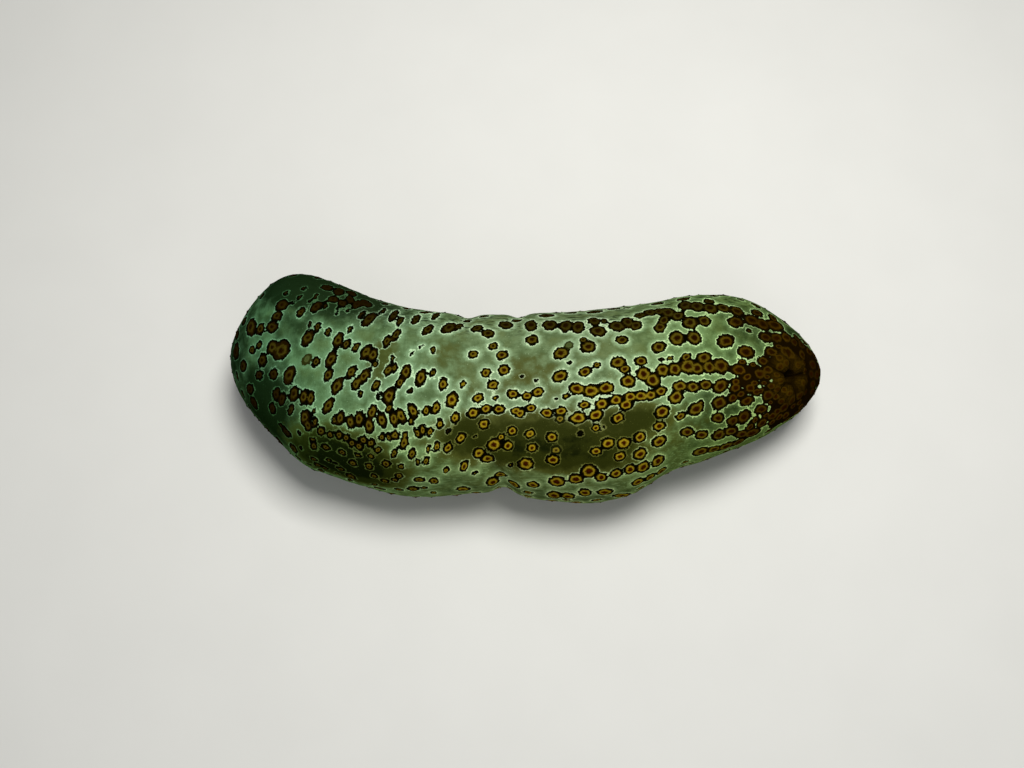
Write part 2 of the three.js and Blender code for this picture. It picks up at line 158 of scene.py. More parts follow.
# %% [markdown]
# ## Folds and swells
# Where the animal bends, its wall folds, and muscle bands below the skin make it swell softly.
# These are low waves added to the radius of the section, so they stay equal to the solids' own.

# %% Folds and swells of the wall
FOLDS = [
    {"at": 0.37, "slant": 0.095, "depth": 4.5 * MM, "half_width": 7 * MM, "start": 95, "full": 175},
    {"at": 0.405, "slant": 0.0, "depth": 2.6 * MM, "half_width": 6 * MM, "start": 75, "full": 25},
    {"at": 0.48, "slant": 0.01, "depth": 2.2 * MM, "half_width": 5 * MM, "start": 70, "full": 20},
    {"at": 0.74, "slant": 0.0, "depth": 5 * MM, "half_width": 15 * MM, "start": 110, "full": 175},
]
FOLD_FADE = (225, 262)
# Sine of the angle round the body between which the swells fade in, from the sole up
SWELL_FADE = (-0.9, 0.2)
SWELLS = [
    {"height": 1.3 * MM, "along": 9.3, "along_start": 0.6, "round": 2, "round_start": 0.4},
    {"height": 0.8 * MM, "along": 19, "along_start": 2.1, "round": 3, "round_start": 1.3},
]


def fold_depth(share, angle):
    degrees = (np.degrees(angle) + 90) % 360 - 90
    above_sole = 1 - smoothstep(*FOLD_FADE, np.abs(degrees - 90) + 90)
    depth = 0
    for fold in FOLDS:
        down = smoothstep(fold["start"], fold["full"], degrees)
        away = (share - fold["at"] - fold["slant"] * down) * LENGTH / fold["half_width"]
        depth = depth + fold["depth"] * down * above_sole * np.exp(-away * away)
    return depth


def swell_height(share, angle):
    height = 0
    for swell in SWELLS:
        lengthwise = np.sin(swell["along"] * share + swell["along_start"])
        around = np.cos(swell["round"] * angle + swell["round_start"])
        height = height + swell["height"] * lengthwise * around
    return height


def loaf_points(share, angle):
    """Points of the skin at shares of the length and angles round the body (0 faces +Y)."""
    from_mouth, from_anus = share * LENGTH, (1 - share) * LENGTH

    def opened(reach, power):
        return (opening(from_mouth, ORAL_END[reach], ORAL_END[power])
                * opening(from_anus, ANAL_END[reach], ANAL_END[power]))

    full = opened("reach", "power")
    back = opened("reach", "back_power")
    chin = opened("chin_reach", "chin_power")
    rise = smoothstep(*TIP_CHANGE, share)
    tip = ORAL_END["tip_height"] + (ANAL_END["tip_height"] - ORAL_END["tip_height"]) * rise
    top = tip + (HEIGHT * along(HEIGHT_SHARE, share) - tip) * back
    bottom = tip - (tip - FOOT_LENGTH) * chin
    middle = tip + (HEIGHT * WIDEST_LEVEL - tip) * full
    half_width = np.maximum(HALF_WIDTH * along(WIDTH_SHARE, share) * full, TINY)
    cos, sin = np.cos(angle), np.sin(angle)
    depth = np.maximum(np.where(sin >= 0, top - middle, middle - bottom), TINY)
    power = np.where(sin >= 0, BACK_POWER, SOLE_POWER)
    radius = (np.abs(cos / half_width) ** power + np.abs(sin / depth) ** power) ** (-1 / power)
    on_back = smoothstep(*SWELL_FADE, sin)
    radius = radius + full * (swell_height(share, angle) * on_back - fold_depth(share, angle))
    x = from_mouth - LENGTH / 2
    y = along(SIDEWAYS, share) * MM + radius * cos
    z = np.maximum(middle + radius * sin, FOOT_LENGTH)
    return np.stack([x + 0 * y, y, z], axis=-1)


# %% [markdown]
# ## From mouth to anus
# The body is counted from the mouth, which faces down, to the anus, which faces up. Both lie a
# little off the tips. So the poles of a sphere slide round the ends before the sphere becomes
# the body, and the rings of the mesh run neatly round both openings.

# %% Poles at the mouth and the anus
POLE_STEP = 0.02


def share_at(latitude):
    """Share of the length at an angle from the mouth tip, with rings even along the skin."""
    quarter = math.pi / 2
    front, rear = ORAL_END["reach"], ANAL_END["reach"]
    skin_length = quarter * (front + rear) + LENGTH - front - rear
    distance = latitude / math.pi * skin_length
    left = skin_length - distance
    share = (front + distance - quarter * front) / LENGTH
    front_share = front * (1 - np.cos(distance / front)) / LENGTH
    rear_share = 1 - rear * (1 - np.cos(left / rear)) / LENGTH
    share = np.where(distance < quarter * front, front_share, share)
    return np.where(left < quarter * rear, rear_share, share)


def slid_round(place, end, from_pole):
    """Places on the unit sphere, turned by their end's slide, which fades along the trunk."""
    turn = (np.radians(end["slide"]) * (1 - smoothstep(0, SLIDE_FADE, from_pole)))[..., None]
    towards = math.radians(end["towards"])
    axis = np.cross([end["side"], 0.0, 0.0], [0.0, math.cos(towards), math.sin(towards)])
    along_axis = (place @ axis)[..., None] * axis
    return (place * np.cos(turn) + np.cross(axis, place) * np.sin(turn)
            + along_axis * (1 - np.cos(turn)))


def pole_points(from_mouth, round_angle):
    """Share and angle of the loaf, and its points, counted from mouth (0) to anus (pi)."""
    place = np.stack([
        -np.cos(from_mouth),
        np.sin(from_mouth) * np.cos(round_angle),
        np.sin(from_mouth) * np.sin(round_angle),
    ], axis=-1)
    place = slid_round(place, ORAL_END, from_mouth)
    place = slid_round(place, ANAL_END, math.pi - from_mouth)
    share = share_at(np.arccos(np.clip(-place[..., 0], -1.0, 1.0)))
    angle = np.arctan2(place[..., 2], place[..., 1])
    return share, angle, loaf_points(share, angle)


def pole_frame(from_mouth):
    """Point, outward normal and two directions in the skin at the mouth or the anus."""
    step = POLE_STEP if from_mouth == 0 else -POLE_STEP
    point = pole_points(np.array([from_mouth]), np.array([0.0]))[2][0]
    quarters = np.arange(4) * math.pi / 2
    ring = pole_points(np.full(4, from_mouth + step), quarters)[2]
    across, other = ring[0] - ring[2], ring[1] - ring[3]
    normal = np.cross(across, other)
    normal /= np.linalg.norm(normal)
    if from_mouth == 0:
        normal = -normal
    right = across - normal * (across @ normal)
    right /= np.linalg.norm(right)
    return {"point": point, "normal": normal, "right": right, "up": np.cross(normal, right)}


MOUTH_FRAME = pole_frame(0.0)
ANUS_FRAME = pole_frame(math.pi)
print("mouth", MOUTH_FRAME["point"].round(4), "anus", ANUS_FRAME["point"].round(4))

# %% [markdown]
# ## Mouth and anus in the skin
# The mouth is a flat disc in a soft collar with a hole in its middle. The anus is a ring of five
# swollen lobes with creases between them, and finer creases run outwards from it. Both are
# relief along the normal of their pole, so they stay part of the one skin.

# %% Relief of the mouth and the anus
MOUTH_FLAT = 15.5 * MM
MOUTH_RIM = 20 * MM
MOUTH_RECESS = 5 * MM
MOUTH_COLLAR = 0.8 * MM
MOUTH_COLLAR_WIDTH = 3 * MM
MOUTH_HOLE = 2.6 * MM
MOUTH_HOLE_DEPTH = 6 * MM
VALVES = 5
LOBE_HEIGHT = 2.8 * MM
LOBE_RADIUS = 9.5 * MM
LOBE_WIDTH = 6.1 * MM
LOBE_FULLNESS = 0.6
ANUS_HOLE = 3.1 * MM
ANUS_HOLE_DEPTH = 13 * MM
MOAT_DEPTH = 0.9 * MM
MOAT_RADIUS = 20.4 * MM
MOAT_WIDTH = 4 * MM
CREASES = 23
CREASE_DEPTH = 0.5 * MM
CREASE_REACH = 15 * MM
CREASE_SPREAD = 8 * MM
CREASE_TWIST = 9 * MM
CREASE_SHARPNESS = 0.5
NEAR_POLE = 50 * MM


def polar(points, pole):
    """Distance from a pole, angle round it and height over it."""
    offset = points - pole["point"]
    return (np.linalg.norm(offset, axis=1), np.arctan2(offset @ pole["up"], offset @ pole["right"]),
            offset @ pole["normal"])


def sink_mouth(points):
    radius, _, height = polar(points, MOUTH_FRAME)
    sunk = 1 - smoothstep(MOUTH_FLAT, MOUTH_RIM, radius)
    collar = MOUTH_COLLAR * np.exp(-(((radius - MOUTH_RIM) / MOUTH_COLLAR_WIDTH) ** 2))
    hole = MOUTH_HOLE_DEPTH * np.exp(-((radius / MOUTH_HOLE) ** 4))
    level = (height + collar) * (1 - sunk) - MOUTH_RECESS * sunk - hole
    lift = np.where(radius < NEAR_POLE, level - height, 0.0)
    return points + lift[:, None] * MOUTH_FRAME["normal"]


def pucker_anus(points):
    radius, turn, _ = polar(points, ANUS_FRAME)
    lobe = np.abs(np.cos(VALVES * turn / 2)) ** LOBE_FULLNESS
    ring = np.exp(-(((radius - LOBE_RADIUS) / LOBE_WIDTH) ** 2))
    lobes = LOBE_HEIGHT * lobe * ring * smoothstep(0, ANUS_HOLE, radius)
    moat = MOAT_DEPTH * np.exp(-(((radius - MOAT_RADIUS) / MOAT_WIDTH) ** 2))
    hole = ANUS_HOLE_DEPTH * np.exp(-((radius / ANUS_HOLE) ** 4))
    wander = 0.5 * np.sin(3 * turn + 1.1) + 0.3 * np.sin(7 * turn)
    crease = np.abs(np.sin(CREASES * turn / 2 + wander + radius / CREASE_TWIST)) ** CREASE_SHARPNESS
    reach = np.exp(-(((radius - CREASE_REACH) / CREASE_SPREAD) ** 2))
    lift = lobes - moat - hole - CREASE_DEPTH * (1 - crease) * reach
    lift = np.where(radius < NEAR_POLE, lift, 0.0)
    return points + lift[:, None] * ANUS_FRAME["normal"]


# %% [markdown]
# ## The skin's mesh
# One closed mesh stands for all nodes of flesh, so that no seam shows. A UV sphere suits it: its
# poles are the mouth and the anus, its own UV map is a clean unwrap without flat spots, and its
# meridians can be crowded on the back, where the spots need a fine mesh.

# %% Make the sphere and turn it into the body
MERIDIANS = 268
RINGS = 368
BACK_CROWDING = 0.25
UV_NAME = "OFBake"

ball = bmesh.new()
ball.loops.layers.uv.new(UV_NAME)
bmesh.ops.create_uvsphere(ball, u_segments=MERIDIANS, v_segments=RINGS, radius=1, calc_uvs=True)
skin_mesh = bpy.data.meshes.new("skin")
ball.to_mesh(skin_mesh)
ball.free()

VERTICES = len(skin_mesh.vertices)
sphere = np.empty(VERTICES * 3)
skin_mesh.vertices.foreach_get("co", sphere)
sphere = sphere.reshape(-1, 3)
from_mouth = np.arccos(np.clip(-sphere[:, 2], -1.0, 1.0))
even_round = np.arctan2(sphere[:, 1], sphere[:, 0])
share, angle, smooth_skin = pole_points(from_mouth, even_round + BACK_CROWDING * np.cos(even_round))
smooth_skin = pucker_anus(sink_mouth(smooth_skin)) + np.array(BODY_SHIFT)


def set_points(mesh, points):
    mesh.vertices.foreach_set("co", points.astype(np.float32).ravel())
    mesh.update()


def normals_of(mesh):
    normals = np.empty(len(mesh.vertices) * 3, np.float32)
    mesh.vertex_normals.foreach_get("vector", normals)
    return normals.reshape(-1, 3)


set_points(skin_mesh, smooth_skin)
smooth_normals = normals_of(skin_mesh)
triangles = 2 * MERIDIANS * (RINGS - 1)
print("skin", VERTICES, "vertices,", triangles, "triangles, lowest", smooth_skin[:, 2].min().round(4))

# %% [markdown]
# ## Reading places off the photo
# A spot that is placed by a pixel has to lie on the skin from every side. So a ray goes from the
# camera through the pixel, and the spot is set where it meets the skin, with the skin's own
# normal. Where a ray just misses the outline, the nearest skin is taken.

# %% Find the skin behind a pixel
ANUS_PIXEL = (787, 376)
skin_tree = BVHTree.FromPolygons(
    [tuple(point) for point in smooth_skin],
    [tuple(face.vertices) for face in skin_mesh.polygons],
)


def skin_behind(pixel):
    ray = ray_through(pixel)
    place, normal, _, _ = skin_tree.ray_cast(CAMERA_PLACE, ray)
    if place is None:
        place, normal, _, _ = skin_tree.find_nearest(CAMERA_PLACE + CAMERA_DISTANCE * ray)
    return place, normal


print("anus seen at", skin_behind(ANUS_PIXEL)[0])

# %% [markdown]
# ## Eye spots in rows
# The species is told by its ringed spots: a dark papilla, an amber disc, a near-black ring and a
# pale rim. They stand in broken rows along the body and run together where they touch. Each row
# has its places read off the photo, and its spots' size and stretch along the row. Their sizes
# get a little seeded disorder.

# %% Rows of eye spots
# Pixel of each spot, half width of a spot in mm, stretch along the row
ROWS = {
    "upper chain": ([(628, 381), (644, 374), (653, 380), (663, 370), (675, 369), (688, 366),
                     (697, 368), (709, 367), (721, 366)], 4.6, 1.05),
    "second chain": ([(602, 404), (616, 400), (630, 397), (641, 396), (651, 395), (661, 391),
                      (680, 386), (693, 387), (706, 385)], 3.7, 1.3),
    "pair above the chains": ([(677, 338), (694, 338)], 4.4, 1.05),
    "high pair": ([(690, 323), (704, 321)], 4.0, 1.15),
    "top right": ([(736, 322), (752, 320), (763, 324), (775, 325)], 4.2, 1.25),
    "far streak": ([(685, 305), (697, 306), (710, 308), (723, 308), (737, 311)], 3.7, 1.5),
    "far cluster": ([(660, 327), (664, 320), (668, 312), (678, 316)], 3.6, 1.0),
    "far edge": ([(640, 315), (650, 312), (659, 311)], 2.8, 1.6),
    "far trio": ([(617, 326), (628, 322), (636, 325)], 3.8, 1.1),
    "far pair": ([(566, 326), (578, 327)], 4.1, 1.1),
    "middle trio": ([(577, 389), (591, 391), (606, 388)], 4.2, 1.4),
    "middle chain": ([(513, 394), (527, 396), (538, 392)], 3.4, 1.3),
    "long lower row": ([(473, 413), (486, 409), (499, 409), (516, 411), (531, 408), (547, 413),
                        (561, 411)], 3.2, 1.3),
    "centre trio": ([(608, 443), (624, 443), (640, 437)], 3.9, 1.3),
    "right lower chain": ([(718, 418), (733, 421), (744, 417)], 3.9, 1.1),
    "right flank chain": ([(687, 432), (702, 435), (719, 435), (731, 431), (742, 434), (752, 433)],
                          3.7, 1.3),
    "right edge chain": ([(701, 452), (714, 449), (726, 446), (738, 442)], 3.2, 2.0),
    "near chain": ([(601, 477), (616, 473), (630, 469), (643, 467), (658, 461)], 3.6, 1.35),
    "near edge": ([(554, 495), (568, 496), (585, 493), (605, 492), (622, 495)], 3.3, 1.6),
    "near edge right": ([(638, 482), (650, 477), (661, 471)], 2.6, 2.1),
    "near edge middle": ([(463, 489), (493, 482), (514, 484), (533, 485)], 3.2, 1.5),
    "tall row": ([(340, 418), (350, 422), (359, 419), (369, 426), (382, 420), (394, 419),
                  (401, 416), (413, 411)], 3.6, 0.56),
    "second left row": ([(321, 431), (330, 435), (339, 435), (346, 438), (352, 443), (359, 446),
                         (363, 440), (371, 443), (378, 450)], 2.5, 0.85),
    "third left row": ([(382, 437), (389, 437), (395, 435), (405, 435)], 2.4, 0.7),
    "fold row": ([(417, 433), (423, 430), (430, 432)], 2.7, 0.55),
    "left trio": ([(294, 394), (304, 397), (311, 398)], 3.5, 0.55),
    "far left band": ([(282, 305), (277, 316), (272, 327)], 3.6, 1.1),
    # The two rows below run together into a dark band along the far edge, partly painted shade
    "far left edge": ([(333, 299), (342, 303), (350, 299), (357, 304), (366, 303)], 3.0, 1.1),
    "far left margin": ([(327, 287), (339, 291), (352, 293)], 2.8, 1.5),
    "rust pair": ([(766, 337), (777, 338)], 4.1, 1.2),
}
SIZE_SPREAD = 0.1
LEAST_FACING = 0.4
SLOPE_STEP = 0.01

random = np.random.default_rng(11)
spots = []


def tangent_at(direction, normal):
    flat = direction - normal * direction.dot(normal)
    return flat.normalized()


def lengthwise_at(place):
    """Direction of the body's middle line beside a place."""
    middle = np.clip(place.x / LENGTH + 0.5, SLOPE_STEP, 1 - SLOPE_STEP)
    beside = middle + np.array([-SLOPE_STEP, SLOPE_STEP])
    slope = np.diff(along(SIDEWAYS, beside))[0] * MM / (2 * SLOPE_STEP * LENGTH)
    return Vector((1.0, slope, 0.0)).normalized()


def add_spot(place, normal, half_width, stretch, direction, faint=0.0):
    """half_width in mm, direction the way the spot is stretched."""
    long_way = tangent_at(direction, normal)
    spots.append({
        "place": np.array(place),
        "normal": np.array(normal),
        "long_way": np.array(long_way),
        "short_way": np.array(normal.cross(long_way)),
        "long": half_width * math.sqrt(stretch) * MM,
        "short": half_width / math.sqrt(stretch) * MM,
        "faint": faint,
    })


def add_seen_spot(place, normal, half_width, stretch, direction, faint=0.0):
    """A spot that looks this large from the camera, also where the skin turns away from it."""
    towards = (CAMERA_PLACE - place).normalized()
    facing = max(towards.dot(normal), LEAST_FACING)
    crosswise = tangent_at(direction, normal).dot(tangent_at(towards, normal))
    turned = facing ** (1 - 2 * crosswise**2)
    add_spot(place, normal, half_width / math.sqrt(facing), stretch * turned, direction, faint)


def add_row(pixels, half_width, stretch):
    found = [skin_behind(pixel) for pixel in pixels]
    for i, (place, normal) in enumerate(found):
        direction = found[min(i + 1, len(found) - 1)][0] - found[max(i - 1, 0)][0]
        size = half_width * (1 + SIZE_SPREAD * random.uniform(-1, 1))
        add_seen_spot(place, normal, size, stretch, direction)


for row in ROWS.values():
    add_row(*row)
print("spots in rows", len(spots))

# %% [markdown]
# ## Spots that stand alone
# The rest of the back carries single spots. The largest are set one by one, as they are what a
# viewer compares first. On the mouth end they are tall and lean, because the wall is drawn
# together there, and towards the anus they lie along the body.

# %% Single eye spots
# Pixel and half width in mm, zone by zone from the mouth end
SINGLES = {
    "mouth end": [
        (272, 347, 3.8), (281, 350, 5.5), (308, 338, 4.2), (318, 327, 2.6), (310, 324, 1.5),
        (301, 312, 2.8), (316, 307, 3.3), (286, 293, 1.5), (362, 314, 2.1), (300, 297, 1.6),
        (310, 301, 1.3), (293, 303, 1.2), (304, 288, 1.5), (325, 305, 2.0), (337, 311, 1.7),
        (348, 310, 1.5), (316, 296, 1.6), (251, 327, 4.0), (260, 329, 3.0), (237, 332, 3.2),
        (236, 351, 3.4), (259, 345, 2.2), (262, 360, 3.4), (243, 366, 2.8), (259, 375, 2.8),
        (273, 374, 3.2), (289, 375, 4.6), (250, 389, 2.8), (254, 403, 2.8), (276, 394, 3.2),
        (282, 399, 3.3), (291, 410, 2.7), (272, 409, 2.7), (305, 417, 3.6), (308, 425, 3.2),
        (315, 422, 2.5), (314, 411, 1.9), (252, 350, 2.2), (316, 362, 2.8), (331, 359, 4.0),
        (328, 375, 3.4), (328, 332, 2.4), (338, 340, 3.9), (346, 344, 2.8), (350, 329, 2.1),
    ],
    "fore body": [
        (356, 347, 2.7), (366, 352, 3.8), (373, 355, 3.5), (375, 364, 2.1), (351, 372, 3.5),
        (364, 376, 4.0), (356, 384, 3.4), (360, 394, 2.0), (376, 385, 3.0), (379, 396, 1.8),
        (337, 386, 4.2), (389, 396, 4.3), (389, 408, 2.6), (396, 335, 3.1), (387, 341, 3.1),
        (369, 319, 3.9), (383, 311, 1.8), (394, 315, 3.1), (400, 321, 2.6), (416, 319, 2.9),
        (427, 312, 2.6), (436, 315, 2.7), (388, 370, 3.1), (394, 368, 2.5), (406, 372, 3.8),
        (400, 383, 2.9), (421, 378, 4.1), (433, 373, 2.3), (410, 391, 1.9), (443, 384, 3.4),
        (372, 412, 3.7), (411, 421, 2.1), (334, 420, 2.3), (404, 443, 3.4), (328, 406, 3.8),
        (426, 411, 2.7), (436, 408, 3.3),
    ],
    "waist": [
        (452, 400, 4.3), (428, 329, 3.2), (449, 327, 3.9), (459, 326, 2.2), (477, 328, 2.9),
        (488, 333, 3.3), (506, 324, 3.3), (493, 346, 2.7), (502, 355, 3.3), (473, 354, 3.0),
        (504, 370, 3.6), (486, 373, 3.1), (493, 385, 3.3), (478, 398, 3.3), (495, 398, 1.9),
        (455, 418, 3.2), (484, 424, 3.3), (440, 424, 2.7), (449, 431, 1.7), (461, 438, 3.1),
        (448, 448, 3.1), (437, 447, 2.6), (428, 449, 2.0), (412, 454, 2.9), (426, 461, 2.4),
        (418, 462, 1.9), (394, 453, 2.5), (512, 431, 3.1), (501, 437, 2.2), (494, 445, 4.3),
        (508, 446, 3.3), (479, 453, 3.5), (488, 458, 3.2), (464, 466, 3.1), (501, 474, 2.5),
        (475, 473, 1.6), (526, 464, 4.3), (446, 470, 2.0),
    ],
    "hind body": [
        (531, 325, 3.6), (550, 325, 3.9), (532, 340, 3.5), (594, 321, 3.1), (598, 331, 4.1),
        (583, 340, 2.1), (588, 347, 4.1), (561, 353, 4.2), (622, 340, 3.2), (618, 362, 4.1),
        (625, 369, 3.1), (641, 361, 3.4), (659, 347, 4.0), (597, 365, 2.1), (585, 372, 3.4),
        (560, 376, 4.2), (686, 357, 2.9), (704, 358, 4.2), (676, 397, 4.3), (626, 405, 3.7),
        (584, 405, 3.0), (578, 418, 4.4), (596, 415, 4.0), (618, 418, 3.6), (596, 428, 2.5),
        (520, 413, 3.2), (530, 434, 3.0), (552, 437, 3.4), (532, 448, 3.2), (553, 460, 3.7),
        (589, 471, 4.6), (557, 482, 4.1), (576, 479, 3.8), (596, 451, 3.1), (620, 456, 3.3),
        (640, 454, 3.9), (659, 441, 3.9), (659, 426, 3.3),
    ],
    "anal end": [
        (726, 341, 4.7), (746, 352, 4.7), (662, 412, 4.3), (680, 416, 2.8), (696, 409, 4.5),
        (701, 403, 1.8), (721, 386, 4.6), (720, 403, 4.5), (739, 370, 4.4), (742, 362, 2.4),
        (747, 377, 3.1), (736, 382, 2.9), (736, 388, 3.5), (759, 374, 4.2), (768, 370, 3.6),
        (763, 361, 3.4), (772, 352, 3.7), (787, 353, 5.3), (779, 347, 2.6), (754, 383, 2.6),
        (750, 388, 3.6), (756, 392, 2.8), (771, 386, 3.0), (768, 395, 4.2), (733, 398, 3.2),
        (747, 401, 3.7), (741, 394, 2.8), (764, 383, 2.2), (760, 391, 2.4), (767, 377, 2.2),
        (766, 415, 2.2), (779, 417, 2.6), (761, 409, 3.6), (781, 401, 3.1), (792, 400, 3.1),
        (784, 407, 3.3), (777, 411, 3.0), (772, 416, 3.1), (770, 402, 2.0), (777, 375, 2.6),
        (784, 390, 3.0), (790, 393, 3.0), (802, 355, 3.0), (753, 365, 2.1), (755, 420, 2.3),
        (762, 423, 3.2), (772, 422, 2.3), (750, 427, 2.5), (709, 301, 2.4), (757, 313, 2.6),
        (773, 318, 2.6),
    ],
}
SPECKS = [
    (421, 347, 1.4), (433, 350, 2.1), (412, 353, 1.5), (463, 384, 2.1), (522, 376, 1.2),
    (536, 381, 1.4), (569, 363, 1.5), (566, 396, 1.9), (556, 399, 1.2), (670, 358, 1.9),
    (661, 359, 1.4), (749, 331, 1.6), (580, 433, 1.8), (604, 321, 1.9), (510, 465, 1.6),
    (392, 358, 1.9), (475, 436, 1.2), (604, 428, 1.1),
]
# Pixel, half width in mm and how faint each spot is
FAINT_SPOTS = [
    (307, 359, 3.0, 0.75), (556, 450, 2.8, 0.3), (569, 345, 2.5, 0.8), (560, 419, 2.6, 0.3),
]
# The near flank of the fore body, with each spot's stretch along the body
FORE_FLANK = [
    (313, 440, 1.9, 1.6), (314, 446, 2.4, 1.0), (326, 447, 2.4, 1.7), (342, 452, 2.2, 1.6),
    (358, 455, 1.8, 1.8), (371, 456, 1.9, 1.3), (353, 463, 2.3, 1.5), (369, 466, 2.4, 1.1),
    (386, 464, 2.7, 1.3), (401, 467, 2.0, 1.1), (399, 476, 2.2, 1.5), (395, 480, 1.7, 2.0),
    (385, 481, 1.9, 2.0), (374, 476, 1.8, 1.8), (351, 477, 2.8, 1.5), (341, 469, 1.8, 2.2),
    (336, 463, 1.3, 2.0), (329, 460, 1.6, 2.2), (314, 459, 1.7, 2.0), (318, 465, 1.9, 2.5),
    (325, 468, 1.6, 2.4), (337, 474, 1.4, 2.3), (286, 433, 2.7, 1.5), (281, 426, 1.7, 2.0),
    (299, 433, 1.5, 1.5), (293, 449, 2.6, 1.4), (264, 428, 2.5, 3.0), (272, 439, 1.5, 3.0),
    (279, 447, 1.5, 3.0), (298, 458, 1.7, 2.0), (301, 448, 1.3, 1.0), (369, 488, 1.5, 2.7),
    (379, 489, 2.3, 3.2), (399, 490, 2.0, 2.7), (413, 489, 2.6, 2.0), (424, 488, 1.5, 2.7),
    (419, 480, 2.5, 2.1), (434, 481, 2.6, 1.5), (309, 464, 1.2, 3.5), (330, 475, 1.2, 3.5),
    (347, 483, 1.2, 3.5), (289, 453, 1.2, 3.5),
]
# How spots lie along the body: share of the length, stretch, lean from the length in degrees
LIE = np.array([
    [0.04, 1.3, 112],
    [0.12, 1.6, 92],
    [0.22, 1.9, 85],
    [0.3, 1.7, 79],
    [0.38, 1.45, 73],
    [0.45, 1.15, 35],
    [0.58, 1.35, 8],
    [0.8, 1.3, 3],
    [1.0, 1.1, 0],
])
LEAN_SPREAD = 9
STRETCH_SPREAD = (0.9, 1.12)


def lie_at(place, normal):
    """Stretch of a spot and the direction it is stretched in."""
    beside = place.x / LENGTH + 0.5
    stretch = np.interp(beside, LIE[:, 0], LIE[:, 1]) * random.uniform(*STRETCH_SPREAD)
    lean = math.radians(np.interp(beside, LIE[:, 0], LIE[:, 2]) + random.normal(0, LEAN_SPREAD))
    lengthwise = tangent_at(lengthwise_at(place), normal)
    return stretch, lengthwise * math.cos(lean) + normal.cross(lengthwise) * math.sin(lean)


def add_single(pixel, half_width, faint=0.0):
    place, normal = skin_behind(pixel)
    add_seen_spot(place, normal, half_width, *lie_at(place, normal), faint)


for zone in SINGLES.values():
    for x, y, half_width in zone:
        add_single((x, y), half_width)
for x, y, half_width in SPECKS:
    add_single((x, y), half_width)
for x, y, half_width, faint in FAINT_SPOTS:
    add_single((x, y), half_width, faint)
for x, y, half_width, stretch in FORE_FLANK:
    place, normal = skin_behind((x, y))
    add_seen_spot(place, normal, half_width, stretch, lengthwise_at(place))
print("spots seen by the camera", len(spots))

# %% [markdown]
# ## Spots on the hidden sides
# The photo doesn't show the far flank, the undersides of the ends or the lower near flank. The
# species has spots all round except on the sole. They are scattered with seeded random places,
# each kept clear of those already there, which gives the even spacing of the real pattern.

# %% Scatter the hidden spots
ROUND_THE_MOUTH = 30 * MM
HIDDEN_TRIES = 5200
HIDDEN_SIZES = (2.2, 4.4)
HIDDEN_CLEARANCE = 1.5 * MM
CLEARANCE_SPREAD = (0.2, 3.2)
GRAZING = 0.3
LOWEST_SPOT = 9 * MM
STEEPEST_UNDERSIDE = -0.55


def size_of(spot):
    """A spot's mean half width."""
    return math.sqrt(spot["long"] * spot["short"])


def clear_of_spots(place, half_width, clearance):
    wanted = half_width * MM + clearance
    centres = np.array([spot["place"] for spot in spots])
    sizes = np.array([size_of(spot) for spot in spots])
    return bool((np.linalg.norm(centres - place, axis=1) > sizes + wanted).all())


def hidden_from_camera(place, normal):
    towards = (CAMERA_PLACE - Vector(place)).normalized()
    return towards.dot(Vector(normal)) < GRAZING


mouth_point = MOUTH_FRAME["point"] + np.array(BODY_SHIFT)
for vertex in random.integers(0, VERTICES, HIDDEN_TRIES):
    place, normal = smooth_skin[vertex], smooth_normals[vertex]
    half_width = random.uniform(*HIDDEN_SIZES)
    on_flank = place[2] > LOWEST_SPOT and normal[2] > STEEPEST_UNDERSIDE
    off_mouth = np.linalg.norm(place - mouth_point) > ROUND_THE_MOUTH
    if on_flank and off_mouth and hidden_from_camera(place, normal):
        clearance = HIDDEN_CLEARANCE * random.uniform(*CLEARANCE_SPREAD)
        if clear_of_spots(place, half_width, clearance):
            there = Vector(place)
            up = Vector(normal)
            add_spot(there, up, half_width, *lie_at(there, up))
print("spots with the hidden ones", len(spots))

# %% Crowd spots round the anus
# Pixel of the middle and radius of each dark place
ANAL_DARKS = [((801, 376), 24 * MM), ((749, 382), 7.5 * MM), ((783, 415), 11.5 * MM)]
ANAL_TRIES = 1500
ANAL_SIZES = (3.2, 4.6)
ANUS_CLEARANCE = 9 * MM
ANAL_OVERLAP = 2.4 * MM
ANAL_STRETCH = 1.1
CROWD_MARGIN = 3 * MM

anus_point = ANUS_FRAME["point"] + np.array(BODY_SHIFT)
into_darks = [
    np.linalg.norm(smooth_skin - np.array(skin_behind(pixel)[0]), axis=1) - radius
    for pixel, radius in ANAL_DARKS
]
anal_dark = np.min(into_darks, axis=0)
round_anus = np.flatnonzero(into_darks[0] < CROWD_MARGIN)
for vertex in random.choice(round_anus, ANAL_TRIES):
    place, normal = smooth_skin[vertex], smooth_normals[vertex]
    half_width = random.uniform(*ANAL_SIZES)
    off_anus = np.linalg.norm(place - anus_point)
    if off_anus > ANUS_CLEARANCE and clear_of_spots(place, half_width, -ANAL_OVERLAP):
        there = Vector(place)
        add_spot(there, Vector(normal), half_width, ANAL_STRETCH, lengthwise_at(there))
print("spots in all", len(spots))

# %% [markdown]
# ## From spots to fields
# Thousands of rings could be cut into the mesh, or painted in an image. Here each vertex stores
# how far it is from the spots, and the material draws crisp rings from these distances at any
# scale. A soft minimum makes the dark of neighbours flow together, as pigment does.

# %% Measure the distance to the spots at each vertex
BLEND = 0.55
FAR_FIELD = 9.0
REACH = 14 * MM
RING = 0.35 * MM
RING_SHARE = 0.23
DISC_SIZES = (1.3 * MM, 2.2 * MM)
SMALLEST_DISC = 0.05
# Distance in mm below which the dark gets no deeper
DEEPEST = -5.0
# How much the distance along a spot's normal counts
NORMAL_WEIGHT = 0.5


